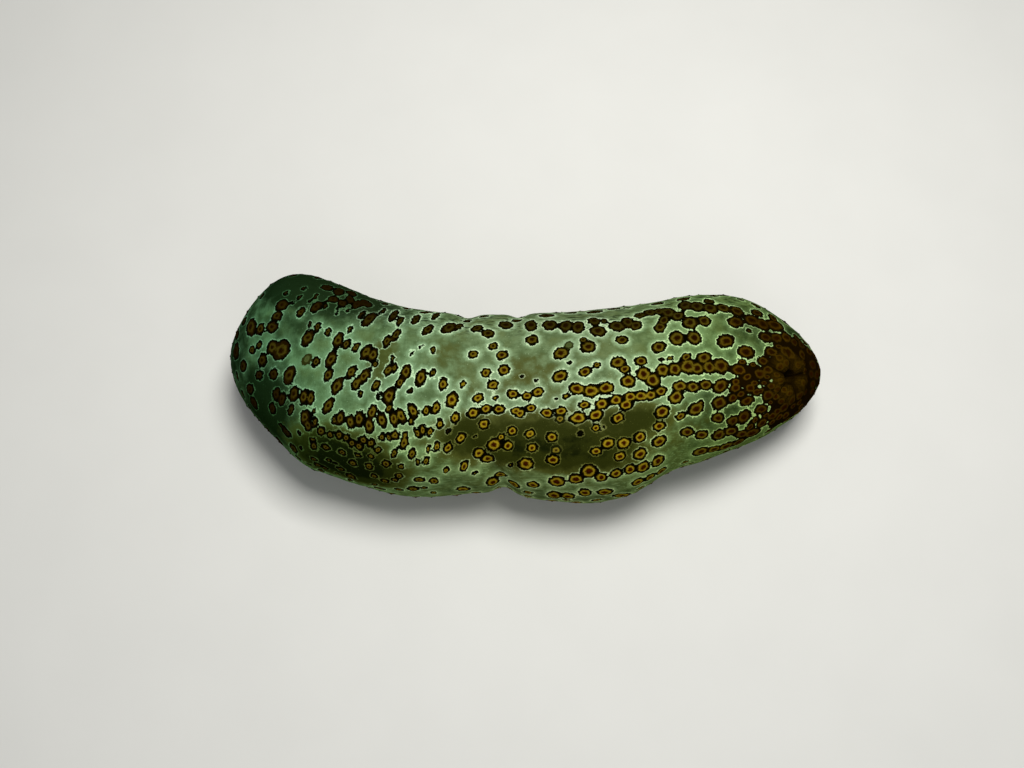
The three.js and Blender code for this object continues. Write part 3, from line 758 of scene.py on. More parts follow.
def spot_fields(points):
    """Distance in mm to the joined dark and into the nearest spot, its disc's share, faint."""
    joined = np.zeros(len(points))
    own = np.full(len(points), FAR_FIELD)
    inner = np.full(len(points), FAR_FIELD)
    faint = np.zeros(len(points))
    order = np.argsort(points[:, 0])
    sorted_x = points[order, 0]
    for spot in spots:
        low, high = np.searchsorted(sorted_x, spot["place"][0] + np.array([-REACH, REACH]))
        near = order[low:high]
        offset = points[near] - spot["place"]
        close = np.abs(offset).max(axis=1) < REACH
        near, offset = near[close], offset[close]
        flat = np.stack([offset @ spot["long_way"], offset @ spot["short_way"],
                         NORMAL_WEIGHT * (offset @ spot["normal"])], axis=1)
        half = np.array([spot["long"], spot["short"], spot["short"]])
        scaled = np.linalg.norm(flat / half, axis=1)
        steepness = np.linalg.norm(flat / half**2, axis=1) + TINY
        distance = scaled * (scaled - 1) / steepness / MM
        joined[near] += np.exp(-np.maximum(distance, DEEPEST) / BLEND)
        closer = distance < own[near]
        own[near] = np.where(closer, distance, own[near])
        size = size_of(spot)
        disc = smoothstep(*DISC_SIZES, size) * (1 - RING_SHARE - RING / size)
        disc = max(disc, SMALLEST_DISC)
        inner[near] = np.where(closer, scaled / disc, inner[near])
        faint[near] = np.where(closer, spot["faint"], faint[near])
    dark = np.minimum(-BLEND * np.log(joined + TINY), FAR_FIELD)
    return dark, own, inner, faint


dark, own, inner, faint = spot_fields(smooth_skin)
print("share of the skin that is dark", round(float((dark < 0).mean()), 3))

# %% [markdown]
# ## Clouds on the ground
# The ground is a pale grey-green with soft brown and olive clouds, and painted shade of
# darker green lies at the ends and along the edges.
# Each cloud is a soft weight on the vertices round a place read off the photo. The material
# turns the weights into colour and breaks their edges up with noise.

# %% Lay the clouds and the painted shade
# Pixel of each cloud's middle, its half length and half height in mm, and its strength
CLOUDS = {
    "large brown cloud": ((548, 446), 62, 18.5, 1.09),
    "its upper right arm": ((627, 427), 29, 12.5, 0.92),
    "its left arm": ((474, 436), 21, 14, 0.98),
    "above it": ((520, 393), 42, 9, 0.25),
    "fore flank": ((346, 463), 35, 21, 1.42),
    "below the fold": ((411, 466), 17, 9, 0.32),
    "fore back": ((383, 359), 9, 21, 0.55),
    "waist, upper": ((450, 358), 15, 13, 0.32),
    "middle back": ((529, 369), 17, 14, 0.36),
    "hind flank": ((680, 425), 30, 13, 0.3),
}
# The same for painted shade in darker green, round both ends and along the far and near edges
PAINTED_SHADES = {
    "mouth end, near side": ((264, 406), 29, 31, 1.0),
    "mouth end, upper side": ((291, 325), 28, 17, 0.58),
    "mouth end, lower side": ((302, 424), 13, 10, 0.5),
    "mouth end, tip": ((236, 350), 15, 34, 0.75),
    "mouth end, far side": ((314, 286), 60, 26, 1.1),
    "mouth end, far corner": ((284, 281), 14, 14, 1.1),
    "hind flank": ((720, 415), 40, 22, 0.6),
    "anal end": ((757, 326), 31, 20, 0.65),
    "anal end, far edge": ((797, 338), 14, 13, 0.8),
    "beyond the anus": ((814, 380), 11, 26, 0.8),
    "near edge": ((560, 497), 90, 10, 0.5),
}
# Share of the length and how strong the painted shade of the ground is there
PAINTED_END_SHADE = np.array([
    [0.04, 0.6],
    [0.1, 0.2],
    [0.16, 0.1],
    [0.34, 0.0],
    [0.7, 0.0],
    [0.78, 0.15],
    [0.84, 0.36],
])
CLOUD_EDGE = 3.2
HIDDEN_CLOUDS = 9
HIDDEN_CLOUD_LENGTHS = (18, 40)
HIDDEN_CLOUD_HEIGHTS = (9, 16)
HIDDEN_CLOUD_STRENGTH = 0.6
FAR_SIDE_FACING = 0.5
FAR_SIDE_LEVEL = 20 * MM
UNSEEN_FACING = (0.25, -0.05)


def cloud_weight(middle, half_length, half_height, strength):
    offset = smooth_skin - np.array(middle)
    lengthwise = np.array(lengthwise_at(Vector(middle)))
    along_body = offset @ lengthwise
    aside = np.linalg.norm(offset - along_body[:, None] * lengthwise, axis=1)
    spread = np.hypot(along_body / (half_length * MM), aside / (half_height * MM))
    return strength * np.exp(-(spread**CLOUD_EDGE))


def clouded(places):
    """The strongest of the clouds at each vertex."""
    weight = np.zeros(VERTICES)
    for pixel, half_length, half_height, strength in places.values():
        middle = skin_behind(pixel)[0]
        weight = np.maximum(weight, cloud_weight(middle, half_length, half_height, strength))
    return weight


def by_length(table):
    """The second column of a table, read at each vertex's share of the length."""
    return np.interp(share, table[:, 0], table[:, 1])


facing_far = smooth_normals[:, 1]
brown = clouded(CLOUDS)
# Painted shade: the strongest of the listed shades and of the shade along the length
painted_shade = np.maximum(clouded(PAINTED_SHADES), by_length(PAINTED_END_SHADE))
towards_camera = np.array(CAMERA_PLACE) - smooth_skin
towards_camera /= np.linalg.norm(towards_camera, axis=1)[:, None]
unseen = smoothstep(*UNSEEN_FACING, (towards_camera * smooth_normals).sum(axis=1))
far_side = np.flatnonzero((facing_far > FAR_SIDE_FACING) & (smooth_skin[:, 2] > FAR_SIDE_LEVEL))
for vertex in random.choice(far_side, HIDDEN_CLOUDS):
    half_length = random.uniform(*HIDDEN_CLOUD_LENGTHS)
    half_height = random.uniform(*HIDDEN_CLOUD_HEIGHTS)
    weight = cloud_weight(smooth_skin[vertex], half_length, half_height, HIDDEN_CLOUD_STRENGTH)
    brown = np.maximum(brown, weight * unseen)
print("brown", round(float(brown.mean()), 3), "shaded", round(float(painted_shade.mean()), 3))

# %% [markdown]
# ## Discs, anus and sole
# The amber discs keep their full colour in the middle of the near side, and painted shade dulls
# them towards both ends and the far edge. The skin round the anus is dark throughout, with
# rust-brown rays, and the sole is cream. These zones depend on the length, on how far the skin
# turns away and on the distance from the anus, so each is a formula.

# %% Weigh the other zones
# Share of the length and how much of the discs' amber is free of painted shade there
PAINTED_DISC_LIGHT = np.array([
    [0.1, 0.0],
    [0.2, 0.12],
    [0.32, 0.4],
    [0.4, 1.0],
    [0.66, 1.0],
    [0.76, 0.45],
    [0.84, 0.3],
])
# The same for the cool green cast of the mouth end and the grass green one of the anal end
COOL_CAST = np.array([
    [0.08, 1.0],
    [0.17, 0.7],
    [0.27, 0.42],
    [0.42, 0.1],
    [0.55, 0.05],
])
GRASS_CAST = np.array([
    [0.62, 0.0],
    [0.78, 0.8],
    [0.88, 1.0],
])
# Where each weight starts and ends, as how far the skin faces the far side (1) or the near (-1)
DISC_SHADE_FACING = (-0.5, 0.52)
FAR_FACING = (0.35, 0.7)
NEAR_FACING = (-0.1, -0.8)
# Waves of the dark end's edge: height in mm, waves round the anus, start
EDGE_WAVES = [(1.6, 5, 0.6), (1.2, 11, 0.0)]
RUST_REACH = (10 * MM, 72 * MM)
ANAL_RAYS = 13
RAY_BEND = 0.8
RAY_SHARPNESS = 0.7
FINE_RAY_SHARE = 0.55
RAYS_START = (3 * MM, 6 * MM)
RAYS_END = (12 * MM, 17 * MM)
MOUTH_DARK_REACH = (15 * MM, 23 * MM)
SOLE_LEVEL = (12 * MM, 5 * MM)
SOLE_FACING = (-0.15, -0.75)
ROUND_LIE_FADE = (0.3, 0.55)

unshifted = smooth_skin - np.array(BODY_SHIFT)
anus_radius, anus_turn, _ = polar(unshifted, ANUS_FRAME)
ragged_edge = sum(height * np.sin(waves * anus_turn + start) for height, waves, start in EDGE_WAVES)
dark = np.minimum(dark, anal_dark / MM + ragged_edge)
rust = 1 - smoothstep(*RUST_REACH, anus_radius)
fine_rays = np.abs(np.sin(ANAL_RAYS * anus_turn + RAY_BEND * np.sin(3 * anus_turn)))
rays = np.abs(np.cos(VALVES * anus_turn / 2)) ** RAY_SHARPNESS
rays *= 1 - FINE_RAY_SHARE * (1 - fine_rays)
rays *= smoothstep(*RAYS_START, anus_radius) * (1 - smoothstep(*RAYS_END, anus_radius))

# Painted shade on the discs and papillae, towards both ends and the far side
painted_disc_shade = 1 - by_length(PAINTED_DISC_LIGHT) * (1 - smoothstep(*DISC_SHADE_FACING, facing_far))
mouth_radius = polar(unshifted, MOUTH_FRAME)[0]
mouth_dark = 1 - smoothstep(*MOUTH_DARK_REACH, mouth_radius)
facing_up = smooth_normals[:, 2]
sole = smoothstep(*SOLE_LEVEL, smooth_skin[:, 2]) * smoothstep(*SOLE_FACING, facing_up)
round_lie = 1 - smoothstep(*ROUND_LIE_FADE, share)
print("painted_disc_shade", round(float(painted_disc_shade.mean()), 3), "sole", round(float(sole.mean()), 3))

# %% [markdown]
# ## Relief of the skin
# Wrinkles, lumps and the low mounds under the spots are real shape here, as a mesh of about a
# millimetre can hold them. Perlin noise stretched round or along the body makes wrinkles that
# run the way the wall is drawn together. Only the grain finer than that is left to bump.

# %% Raise mounds and wrinkles
MOUND_HEIGHT = 0.35 * MM
LUMP_HEIGHT = 0.7 * MM
LUMP_SIZE = 22 * MM
WRINKLE_DEPTH = 0.3 * MM
# Size of a wrinkle's grain along the body and round it
ROUND_WRINKLE = (4.5 * MM, 26 * MM)
LONG_WRINKLE = (24 * MM, 3.8 * MM)
MIDDLE_RADIUS = 48 * MM
CREASE_NARROWNESS = 7
LONG_CREASE_FACING = (0.2, 0.75)
LEAST_LONG_CREASE = 0.25
CALM_SHARE = 0.8


def noise_at(places):
    return np.array([noise.noise(Vector(place)) for place in places])


def stretched_noise(size_along, size_round):
    """Noise on the skin with its grain's size along the body and round it."""
    across = MIDDLE_RADIUS / size_round * np.stack([np.cos(angle), np.sin(angle)], axis=1)
    return noise_at(np.column_stack([share * LENGTH / size_along, across]))


def creases(values):
    """Turns smooth noise into narrow creases (-1) between broad ridges (0)."""
    return -np.exp(-np.abs(values) * CREASE_NARROWNESS)


far_flank = smoothstep(*LONG_CREASE_FACING, facing_far)
long_share = LEAST_LONG_CREASE + (1 - LEAST_LONG_CREASE) * far_flank
wrinkles = round_lie * creases(stretched_noise(*ROUND_WRINKLE))
wrinkles += long_share * creases(stretched_noise(*LONG_WRINKLE))
lumps = noise_at(smooth_skin / LUMP_SIZE)
calm = 1 - CALM_SHARE * np.maximum(sole, mouth_dark)
mounds = MOUND_HEIGHT * np.exp(-(inner**2)) * (own < 0)
relief = mounds + calm * (LUMP_HEIGHT * lumps + WRINKLE_DEPTH * wrinkles)
set_points(skin_mesh, smooth_skin + relief[:, None] * smooth_normals)
skin_mesh.shade_smooth()
print("relief from", (relief.min() / MM).round(2), "to", (relief.max() / MM).round(2), "mm")

# %% Store the fields on the mesh
FIELDS = {
    "dark": dark,
    "inner": inner,
    "faint": faint,
    "brown": brown,
    "painted_shade": painted_shade,
    "rust": rust,
    "mouth_dark": mouth_dark,
    "sole": sole,
    "round_lie": round_lie,
    "painted_disc_shade": painted_disc_shade,
    "far": smoothstep(*FAR_FACING, facing_far),
    "cool": by_length(COOL_CAST),
    "grassy": by_length(GRASS_CAST),
    "near": smoothstep(*NEAR_FACING, facing_far),
    "rays": rays,
}


def store_field(mesh, name, values):
    layer = mesh.attributes.new(name, "FLOAT", "POINT")
    layer.data.foreach_set("value", np.ascontiguousarray(values, np.float32))


def finish_piece(name, mesh, material, nodes=()):
    piece = bpy.data.objects.new(name, mesh)
    bpy.context.collection.objects.link(piece)
    mesh.materials.append(material)
    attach(piece, "root")
    if nodes:
        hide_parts(*nodes)


for name, values in FIELDS.items():
    store_field(skin_mesh, name, values)
print("fields", len(FIELDS))

# %% [markdown]
# ## Materials
# A node tree is easiest to read as a chain of layers, each mixed over the one before. A small
# helper class adds nodes and joins them, so that each layer is a line or two of code below.

# %% A helper for building materials
class Surface:
    """A material being built. Its methods add the nodes and return their outputs."""

    def __init__(self, name, roughness, specular=0.4):
        self.material = bpy.data.materials.new(name)
        self.material.use_nodes = True
        self.tree = self.material.node_tree
        self.shader = self.tree.nodes["Principled BSDF"]
        self.shader.inputs["Roughness"].default_value = roughness
        self.shader.inputs["Specular IOR Level"].default_value = specular
        self.coordinates = self.tree.nodes.new("ShaderNodeTexCoord").outputs["Object"]

    def plug(self, socket, value):
        """Links a node's output to a socket, or sets the socket to a number or a colour."""
        if isinstance(value, bpy.types.NodeSocket):
            self.tree.links.new(value, socket)
        elif socket.type == "RGBA":
            socket.default_value = (*value, 1.0)
        else:
            socket.default_value = value

    def outputs(self, node, inputs):
        """Fills a node's inputs and returns its outputs."""
        for socket, value in inputs.items():
            self.plug(node.inputs[socket], value)
        return node.outputs

    def field(self, name):
        """A number stored on the mesh."""
        node = self.tree.nodes.new("ShaderNodeAttribute")
        node.attribute_name = name
        return node.outputs["Fac"]

    def math(self, operation, first, second):
        node = self.tree.nodes.new("ShaderNodeMath")
        node.operation = operation
        return self.outputs(node, {0: first, 1: second})[0]

    def add(self, first, second):
        return self.math("ADD", first, second)

    def times(self, first, second):
        return self.math("MULTIPLY", first, second)

    def noise(self, size, detail=2.0, stretch=(1, 1, 1), roughness=0.5, warp=0.0):
        """Noise whose grain is about size metres, longer by stretch along each axis."""
        mapping = self.tree.nodes.new("ShaderNodeMapping")
        scale = [1 / (size * axis) for axis in stretch]
        place = self.outputs(mapping, {"Vector": self.coordinates, "Scale": scale})[0]
        return self.outputs(self.tree.nodes.new("ShaderNodeTexNoise"), {
            "Vector": place,
            "Scale": 1.0,
            "Detail": detail,
            "Roughness": roughness,
            "Distortion": warp,
        })["Fac"]

    def cells(self, size):
        """Distance to the nearest of many scattered points, about size metres apart."""
        node = self.tree.nodes.new("ShaderNodeTexVoronoi")
        return self.outputs(node, {"Vector": self.coordinates, "Scale": 1 / size})["Distance"]

    def ramp(self, value, start, end, low=0.0, high=1.0):
        """A smooth step from low to high, while value goes from start to end."""
        node = self.tree.nodes.new("ShaderNodeMapRange")
        node.interpolation_type = "SMOOTHSTEP"
        inputs = {"Value": value, "From Min": start, "From Max": end, "To Min": low, "To Max": high}
        return self.outputs(node, inputs)["Result"]

    def blend(self, share, first, second):
        """Mixes two values."""
        node = self.tree.nodes.new("ShaderNodeMix")
        return self.outputs(node, {0: share, 2: first, 3: second})[0]

    def mix(self, share, first, second, how="MIX"):
        """Mixes two colours."""
        node = self.tree.nodes.new("ShaderNodeMix")
        node.data_type = "RGBA"
        node.blend_type = how
        return self.outputs(node, {0: share, 6: first, 7: second})[2]

    def cast(self, share, colour, tint):
        """Multiplies a share of the colour by a tint."""
        return self.mix(share, colour, tint, "MULTIPLY")

    def bump(self, height, distance, strength=1.0):
        node = self.tree.nodes.new("ShaderNodeBump")
        inputs = {"Height": height, "Distance": distance, "Strength": strength}
        self.plug(self.shader.inputs["Normal"], self.outputs(node, inputs)["Normal"])

    def colour(self, value):
        self.plug(self.shader.inputs["Base Color"], value)


# %% [markdown]
# ## The skin's ground
# The living skin is leathery and under water shows no gloss, so it has no highlights. Its
# ground is mottled, streaked the way the wall is drawn together, and brightest close to the
# spots. Painted shade in darker green, and olive and brown clouds, lie over it where the
# weights stored above say so.

# %% Skin: the ground
PALE = (0.2, 0.287, 0.158)
GREY_GREEN = (0.118, 0.167, 0.078)
DEEP_GREY_GREEN = (0.068, 0.1, 0.04)
PALE_OLIVE = (0.095, 0.118, 0.04)
# Dark green of the painted shade, also used for the strokes on the far flank
PAINTED_SHADE_GREEN = (0.008, 0.014, 0.004)
OLIVE = (0.06, 0.066, 0.016)
BROWN = (0.021, 0.0245, 0.0042)
DEEP_BROWN = (0.007, 0.0095, 0.002)
STREAK_SIZE = 0.9 * MM
STREAK_STRETCH = 7
MOTTLE_SIZE = 7 * MM
WARM_PATCH_SIZE = 16 * MM
GRAIN_SIZE = 0.5 * MM
COARSE_RAGGED_SIZE = 2.2 * MM
FINE_RAGGED_SIZE = 0.9 * MM
BRUSH_SIZE = 0.8 * MM
BRUSH_STRETCH = (6, 1, 2)
STROKE_SIZE = 1.2 * MM
STROKE_STRETCH = (5, 1, 1)
# Distance in mm from a spot's edge where its pale halo starts to fade, and where it ends
HALO_FADE = (0.5, 3.2)


class Skin(Surface):
    """The skin's material, with the values that several of its layers share."""

    def __init__(self):
        super().__init__("sea_cucumber_skin", roughness=0.45, specular=0.0)
        round_stretch = (1, STREAK_STRETCH, STREAK_STRETCH)
        round_streaks = self.noise(STREAK_SIZE, 3, round_stretch, roughness=0.6)
        long_streaks = self.noise(STREAK_SIZE, 3, (STREAK_STRETCH, 1, 1), roughness=0.6)
        self.streaks = self.blend(self.field("round_lie"), long_streaks, round_streaks)
        self.mottle = self.noise(MOTTLE_SIZE, 4, roughness=0.6, warp=0.15)
        self.warm = self.noise(WARM_PATCH_SIZE, 3, roughness=0.6)
        self.grain = self.noise(GRAIN_SIZE, 2)

        patchy = self.ramp(self.mottle, 0.3, 0.7, 0.1, -0.1)
        # Painted shade, broken up by the mottle
        self.painted_shade = self.add(self.field("painted_shade"), patchy)
        cloud = self.add(self.field("brown"), patchy)
        self.cloud = self.add(cloud, self.ramp(self.warm, 0.35, 0.65, -0.08, 0.08))

        # Shifts of the spots' edges in mm
        coarse = self.ramp(self.noise(COARSE_RAGGED_SIZE, 1), 0.25, 0.75, -0.5, 0.5)
        self.fine = self.ramp(self.noise(FINE_RAGGED_SIZE, 1), 0.25, 0.75, -0.16, 0.16)
        self.ragged = self.add(coarse, self.fine)
        self.edge = self.add(self.field("dark"), self.ragged)


def pale_ground(skin):
    """The grey-green ground with its streaks and with halos round the spots."""
    ground = skin.mix(skin.ramp(skin.mottle, 0.35, 0.65), DEEP_GREY_GREEN, GREY_GREEN)
    ground = skin.mix(skin.ramp(skin.streaks, 0.3, 0.55, 0.5, 0.0), ground, DEEP_GREY_GREEN)
    ground = skin.mix(skin.ramp(skin.warm, 0.45, 0.68, 0.0, 0.6), ground, PALE_OLIVE)
    halo = skin.ramp(skin.edge, *HALO_FADE, 1.0, 0.0)
    halo = skin.times(halo, skin.ramp(skin.field("cool"), 0.0, 0.8, 0.95, 0.25))
    halo = skin.times(halo, skin.ramp(skin.field("grassy"), 0.0, 1.0, 1.0, 0.45))
    ground = skin.mix(halo, ground, PALE)
    brushed = skin.ramp(skin.noise(BRUSH_SIZE, 2, BRUSH_STRETCH), 0.5, 0.66, 0.0, 0.5)
    return skin.mix(skin.times(brushed, skin.field("near")), ground, PALE)


def clouded_ground(skin, ground):
    """Painted shade, clouds, and dark strokes on the far flank that are partly painted shade."""
    ground = skin.mix(skin.ramp(skin.painted_shade, 0.1, 0.9, 0.0, 0.97), ground, PAINTED_SHADE_GREEN)
    ground = skin.mix(skin.ramp(skin.cloud, 0.12, 0.5), ground, OLIVE)
    ground = skin.mix(skin.ramp(skin.cloud, 0.4, 0.85), ground, BROWN)
    ground = skin.mix(skin.ramp(skin.cloud, 0.95, 1.2), ground, DEEP_BROWN)
    # Dark strokes on the far flank only, partly painted shade
    strokes = skin.ramp(skin.noise(STROKE_SIZE, 2, STROKE_STRETCH), 0.38, 0.46, 0.85, 0.0)
    return skin.mix(skin.times(strokes, skin.field("far")), ground, PAINTED_SHADE_GREEN)


# %% [markdown]
# ## The skin's spots
# Rim, ring, disc and middle of a spot are drawn from its stored distances, one over the other.
# The ring's edge is ragged in the photo, so noise of about the size of the pigment cells is
# added to the distance first. Painted rings would blur close up, and these stay crisp.

# %% Skin: rims, rings and discs
RIM_CREAM = (0.5, 0.62, 0.38)
RIM_ON_BROWN = (0.12, 0.125, 0.032)
RIM_IN_SHADE = (0.07, 0.12, 0.05)
COOL_TINT = (0.58, 1.0, 0.93)
GRASS_TINT = (0.87, 1.0, 0.68)
NEAR_TINT = (1.0, 1.0, 0.7)
RING_BLACK = (0.001, 0.001, 0.0)
RING_BROWN = (0.009, 0.0042, 0.0001)
ANAL_BROWN = (0.005, 0.0025, 0.0002)
AMBER = (0.27, 0.194, 0.0085)
# Amber of the discs in painted shade
PAINTED_SHADE_AMBER = (0.038, 0.031, 0.003)
RUST = (0.055, 0.029, 0.0009)
ANAL_RUST = (0.035, 0.0193, 0.0007)
PAPILLA_RUST = (0.032, 0.0045, 0.0)
# Papilla colour in painted shade
PAINTED_SHADE_PAPILLA = (0.009, 0.0034, 0.0)
FAINT_OLIVE = (0.048, 0.07, 0.02)
SPECK_SPACING = 2.2 * MM
# Distance in mm from a spot's edge where its rim starts to fade, and where it ends
RIM_FADE = (0.25, 0.75)
RING_EDGE = (-0.12, 0.16)
RAGGED_DISC = 0.24
ROUND_LIE_RING = 0.12
# Share of painted shade that blackens the discs of the far side
FAR_DISC_SHADE = 0.5


def rimmed(skin, ground):
    """Pale rims round the spots and pale specks between them."""
    rim_colour = skin.mix(skin.ramp(skin.cloud, 0.25, 0.8), RIM_CREAM, RIM_ON_BROWN)
    cool = skin.ramp(skin.field("cool"), 0.2, 1.0, 0.0, 0.65)
    rim_colour = skin.mix(cool, rim_colour, RIM_IN_SHADE)
    rim_colour = skin.mix(skin.ramp(skin.painted_shade, 0.4, 0.95), rim_colour, RIM_IN_SHADE)
    specks = skin.ramp(skin.cells(SPECK_SPACING), 0.06, 0.15, 0.25, 0.0)
    ground = skin.mix(specks, ground, rim_colour)
    rim = skin.ramp(skin.edge, *RIM_FADE, 1.0, 0.0)
    rim = skin.times(rim, skin.ramp(skin.field("faint"), 0.0, 0.5, 1.0, 0.0))
    rim = skin.times(rim, skin.ramp(skin.warm, 0.35, 0.6, 0.95, 0.6))
    return skin.mix(rim, ground, rim_colour)


def tinted(skin, colour):
    """The green casts of both ends and of the near side."""
    colour = skin.cast(skin.field("cool"), colour, COOL_TINT)
    colour = skin.cast(skin.field("grassy"), colour, GRASS_TINT)
    return skin.cast(skin.field("near"), colour, NEAR_TINT)


def ringed(skin, colour):
    """Rings that are black at their edge and dark brown further in."""
    ring_colour = skin.mix(skin.ramp(skin.edge, -1.5, -0.7, 1.0, 0.0), RING_BLACK, RING_BROWN)
    ring_colour = skin.mix(skin.field("rust"), ring_colour, ANAL_BROWN)
    ring_colour = skin.mix(skin.field("faint"), ring_colour, BROWN)
    return skin.mix(skin.ramp(skin.edge, *RING_EDGE, 1.0, 0.0), colour, ring_colour)


def disc_colour(skin):
    """Amber, rustier from zone to zone, and darkened by painted shade at the ends, on the far side
    and where the ground is shaded.
    """
    colour = skin.mix(skin.field("painted_disc_shade"), AMBER, PAINTED_SHADE_AMBER)
    colour = skin.mix(skin.ramp(skin.field("rust"), 0.0, 0.65), colour, RUST)
    colour = skin.mix(skin.ramp(skin.field("rust"), 0.7, 1.0), colour, ANAL_RUST)
    # Painted shade: the discs darken where the ground is shaded and blacken on the far side
    colour = skin.mix(skin.ramp(skin.painted_shade, 0.3, 0.8, 0.0, 0.8), colour, RING_BROWN)
    return skin.mix(skin.times(skin.field("far"), FAR_DISC_SHADE), colour, RING_BLACK)


def with_discs(skin, colour):
    """Discs with a soft brown edge and a rust middle, and the rays of the anus."""
    inside = skin.add(skin.field("inner"), skin.times(skin.ragged, RAGGED_DISC))
    inside = skin.add(inside, skin.times(skin.field("round_lie"), ROUND_LIE_RING))
    disc = skin.mix(skin.ramp(inside, 0.74, 1.03, 0.0, 0.9), disc_colour(skin), RING_BROWN)
    # The middle of a disc darkens with the painted shade too
    middle = skin.mix(skin.field("painted_disc_shade"), PAPILLA_RUST, PAINTED_SHADE_PAPILLA)
    disc = skin.mix(skin.ramp(inside, 0.36, 0.8, 1.0, 0.0), disc, middle)
    disc = skin.mix(skin.field("faint"), disc, FAINT_OLIVE)
    colour = skin.mix(skin.ramp(inside, 0.94, 1.08, 1.0, 0.0), colour, disc)
    rays = skin.times(skin.field("rays"), skin.ramp(skin.fine, -0.2, 0.2, 0.3, 0.8))
    return skin.mix(rays, colour, ANAL_RUST)


# %% Skin: sole, mouth and grain
SOLE_CREAM = (0.42, 0.4, 0.24)
MOUTH_BROWN = (0.03, 0.016, 0.006)
STREAKS_IN_BUMP = 0.6
SKIN_BUMP = 0.3 * MM
SKIN_BUMP_STRENGTH = 0.8


def skin_material():
    skin = Skin()
    colour = clouded_ground(skin, pale_ground(skin))
    colour = tinted(skin, rimmed(skin, colour))
    colour = with_discs(skin, ringed(skin, colour))
    sole_edge = skin.add(skin.field("sole"), skin.ramp(skin.mottle, 0.3, 0.7, -0.2, 0.2))
    colour = skin.mix(skin.ramp(sole_edge, 0.35, 0.75), colour, SOLE_CREAM)
    skin.colour(skin.mix(skin.field("mouth_dark"), colour, MOUTH_BROWN))
    skin.plug(skin.shader.inputs["Roughness"], skin.ramp(skin.grain, 0.3, 0.7, 0.42, 0.6))
    height = skin.blend(STREAKS_IN_BUMP, skin.grain, skin.streaks)
    skin.bump(height, SKIN_BUMP, SKIN_BUMP_STRENGTH)
    return skin.material


finish_piece("skin", skin_mesh, skin_material(), FLESH_NODES)
print("skin stands for", len(FLESH_NODES), "nodes")

# %% [markdown]
# ## Many small copies in one mesh
# Papillae and tube feet number in the hundreds. Separate objects would be slow to handle, so a
# template is modelled once and the duplicate operator copies it within one mesh. Each copy gets
# its own small patch on the skin's unwrap, at its root, so that a bake keeps its colours apart.

# %% A helper that joins copies of a template
UV_PATCH = 0.0015
# How far a patch leans with height, so that the steps of a template don't lie on each other
UV_LEAN = (0.3, 0.2)
skin_lookup = KDTree(VERTICES)
for index, point in enumerate(smooth_skin):
    skin_lookup.insert(point, index)
skin_lookup.balance()


def root_on_unwrap(place):
    """UV of the skin nearest to a place."""
    index = skin_lookup.find(place)[1]
    return Vector(((even_round[index] / (2 * math.pi)) % 1.0, from_mouth[index] / math.pi))


def parts_of(geometry, kind):
    return [part for part in geometry if isinstance(part, kind)]


def extruded_profile(mesh_maker, sides, start, profile):
    """A round body of rising steps (level, radius), each extruded from the one below."""
    level, radius = start
    matrix = Matrix.Translation((0, 0, level))
    bmesh.ops.create_circle(mesh_maker, cap_ends=True, segments=sides, radius=radius, matrix=matrix)
    bottom = mesh_maker.faces[:][0]
    top = bmesh.ops.extrude_face_region(mesh_maker, geom=[bottom])["geom"]
    for step, (next_level, next_radius) in enumerate(profile):
        if step:
            top = bmesh.ops.extrude_face_region(mesh_maker, geom=[cap])["geom"]
            bmesh.ops.delete(mesh_maker, geom=[cap], context="FACES_ONLY")
        ring = parts_of(top, bmesh.types.BMVert)
        bmesh.ops.scale(mesh_maker, vec=(next_radius / radius, next_radius / radius, 1), verts=ring)
        bmesh.ops.translate(mesh_maker, vec=(0, 0, next_level - level), verts=ring)
        cap = parts_of(top, bmesh.types.BMFace)[0]
        level, radius = next_level, next_radius
    bmesh.ops.recalc_face_normals(mesh_maker, faces=mesh_maker.faces[:])


def store_rise(mesh_maker, top):
    """Stores how high each vertex of a template stands, from 0 at its root to 1 at its top."""
    layer = mesh_maker.verts.layers.float.new("rise")
    for vert in mesh_maker.verts:
        vert[layer] = vert.co.z / top


def joined_copies(name, make_template, moves, uv_of):
    """One mesh with a copy of a template for each move, a function of a template's point.

    uv_of gives the UV of a template's point in the copy with a given index.
    """
    mesh_maker = bmesh.new()
    uv_layer = mesh_maker.loops.layers.uv.new(UV_NAME)
    make_template(mesh_maker)
    template = mesh_maker.verts[:] + mesh_maker.edges[:] + mesh_maker.faces[:]
    for index, move in enumerate(moves):
        made = bmesh.ops.duplicate(mesh_maker, geom=template)["geom"]
        for face in parts_of(made, bmesh.types.BMFace):
            face.smooth = True
            for loop in face.loops:
                loop[uv_layer].uv = uv_of(index, loop.vert.co)
        for vert in parts_of(made, bmesh.types.BMVert):
            vert.co = move(vert.co)
    bmesh.ops.delete(mesh_maker, geom=template, context="VERTS")
    bmesh.ops.recalc_face_normals(mesh_maker, faces=mesh_maker.faces[:])
    mesh = bpy.data.meshes.new(name)
    mesh_maker.to_mesh(mesh)
    mesh_maker.free()
    print(name, len(moves), "copies,", len(mesh.polygons), "faces")
    return mesh


def moved_by(matrix):
    """The function that moves a point by a matrix."""
    return lambda point: matrix @ point


def placed_copies(name, make_template, matrices):
    """Joined copies at matrices, each with its patch at its root. A template is two units wide."""
    roots = [root_on_unwrap(matrix.translation) for matrix in matrices]

    def uv_of(index, point):
        lean_u, lean_v = UV_LEAN
        spot = Vector((point.x + lean_u * point.z, point.y + lean_v * point.z))
        return roots[index] + UV_PATCH * spot

    moves = [moved_by(matrix) for matrix in matrices]
    return joined_copies(name, make_template, moves, uv_of)


# %% [markdown]
# ## Papillae
# In the middle of each eye spot stands a small soft papilla, a tube foot of the back. It is a
# blunt cone with a rounded tip, modelled by extruding a disc a few times while it narrows.

# %% Model the papillae
PAPILLA_SIDES = 9
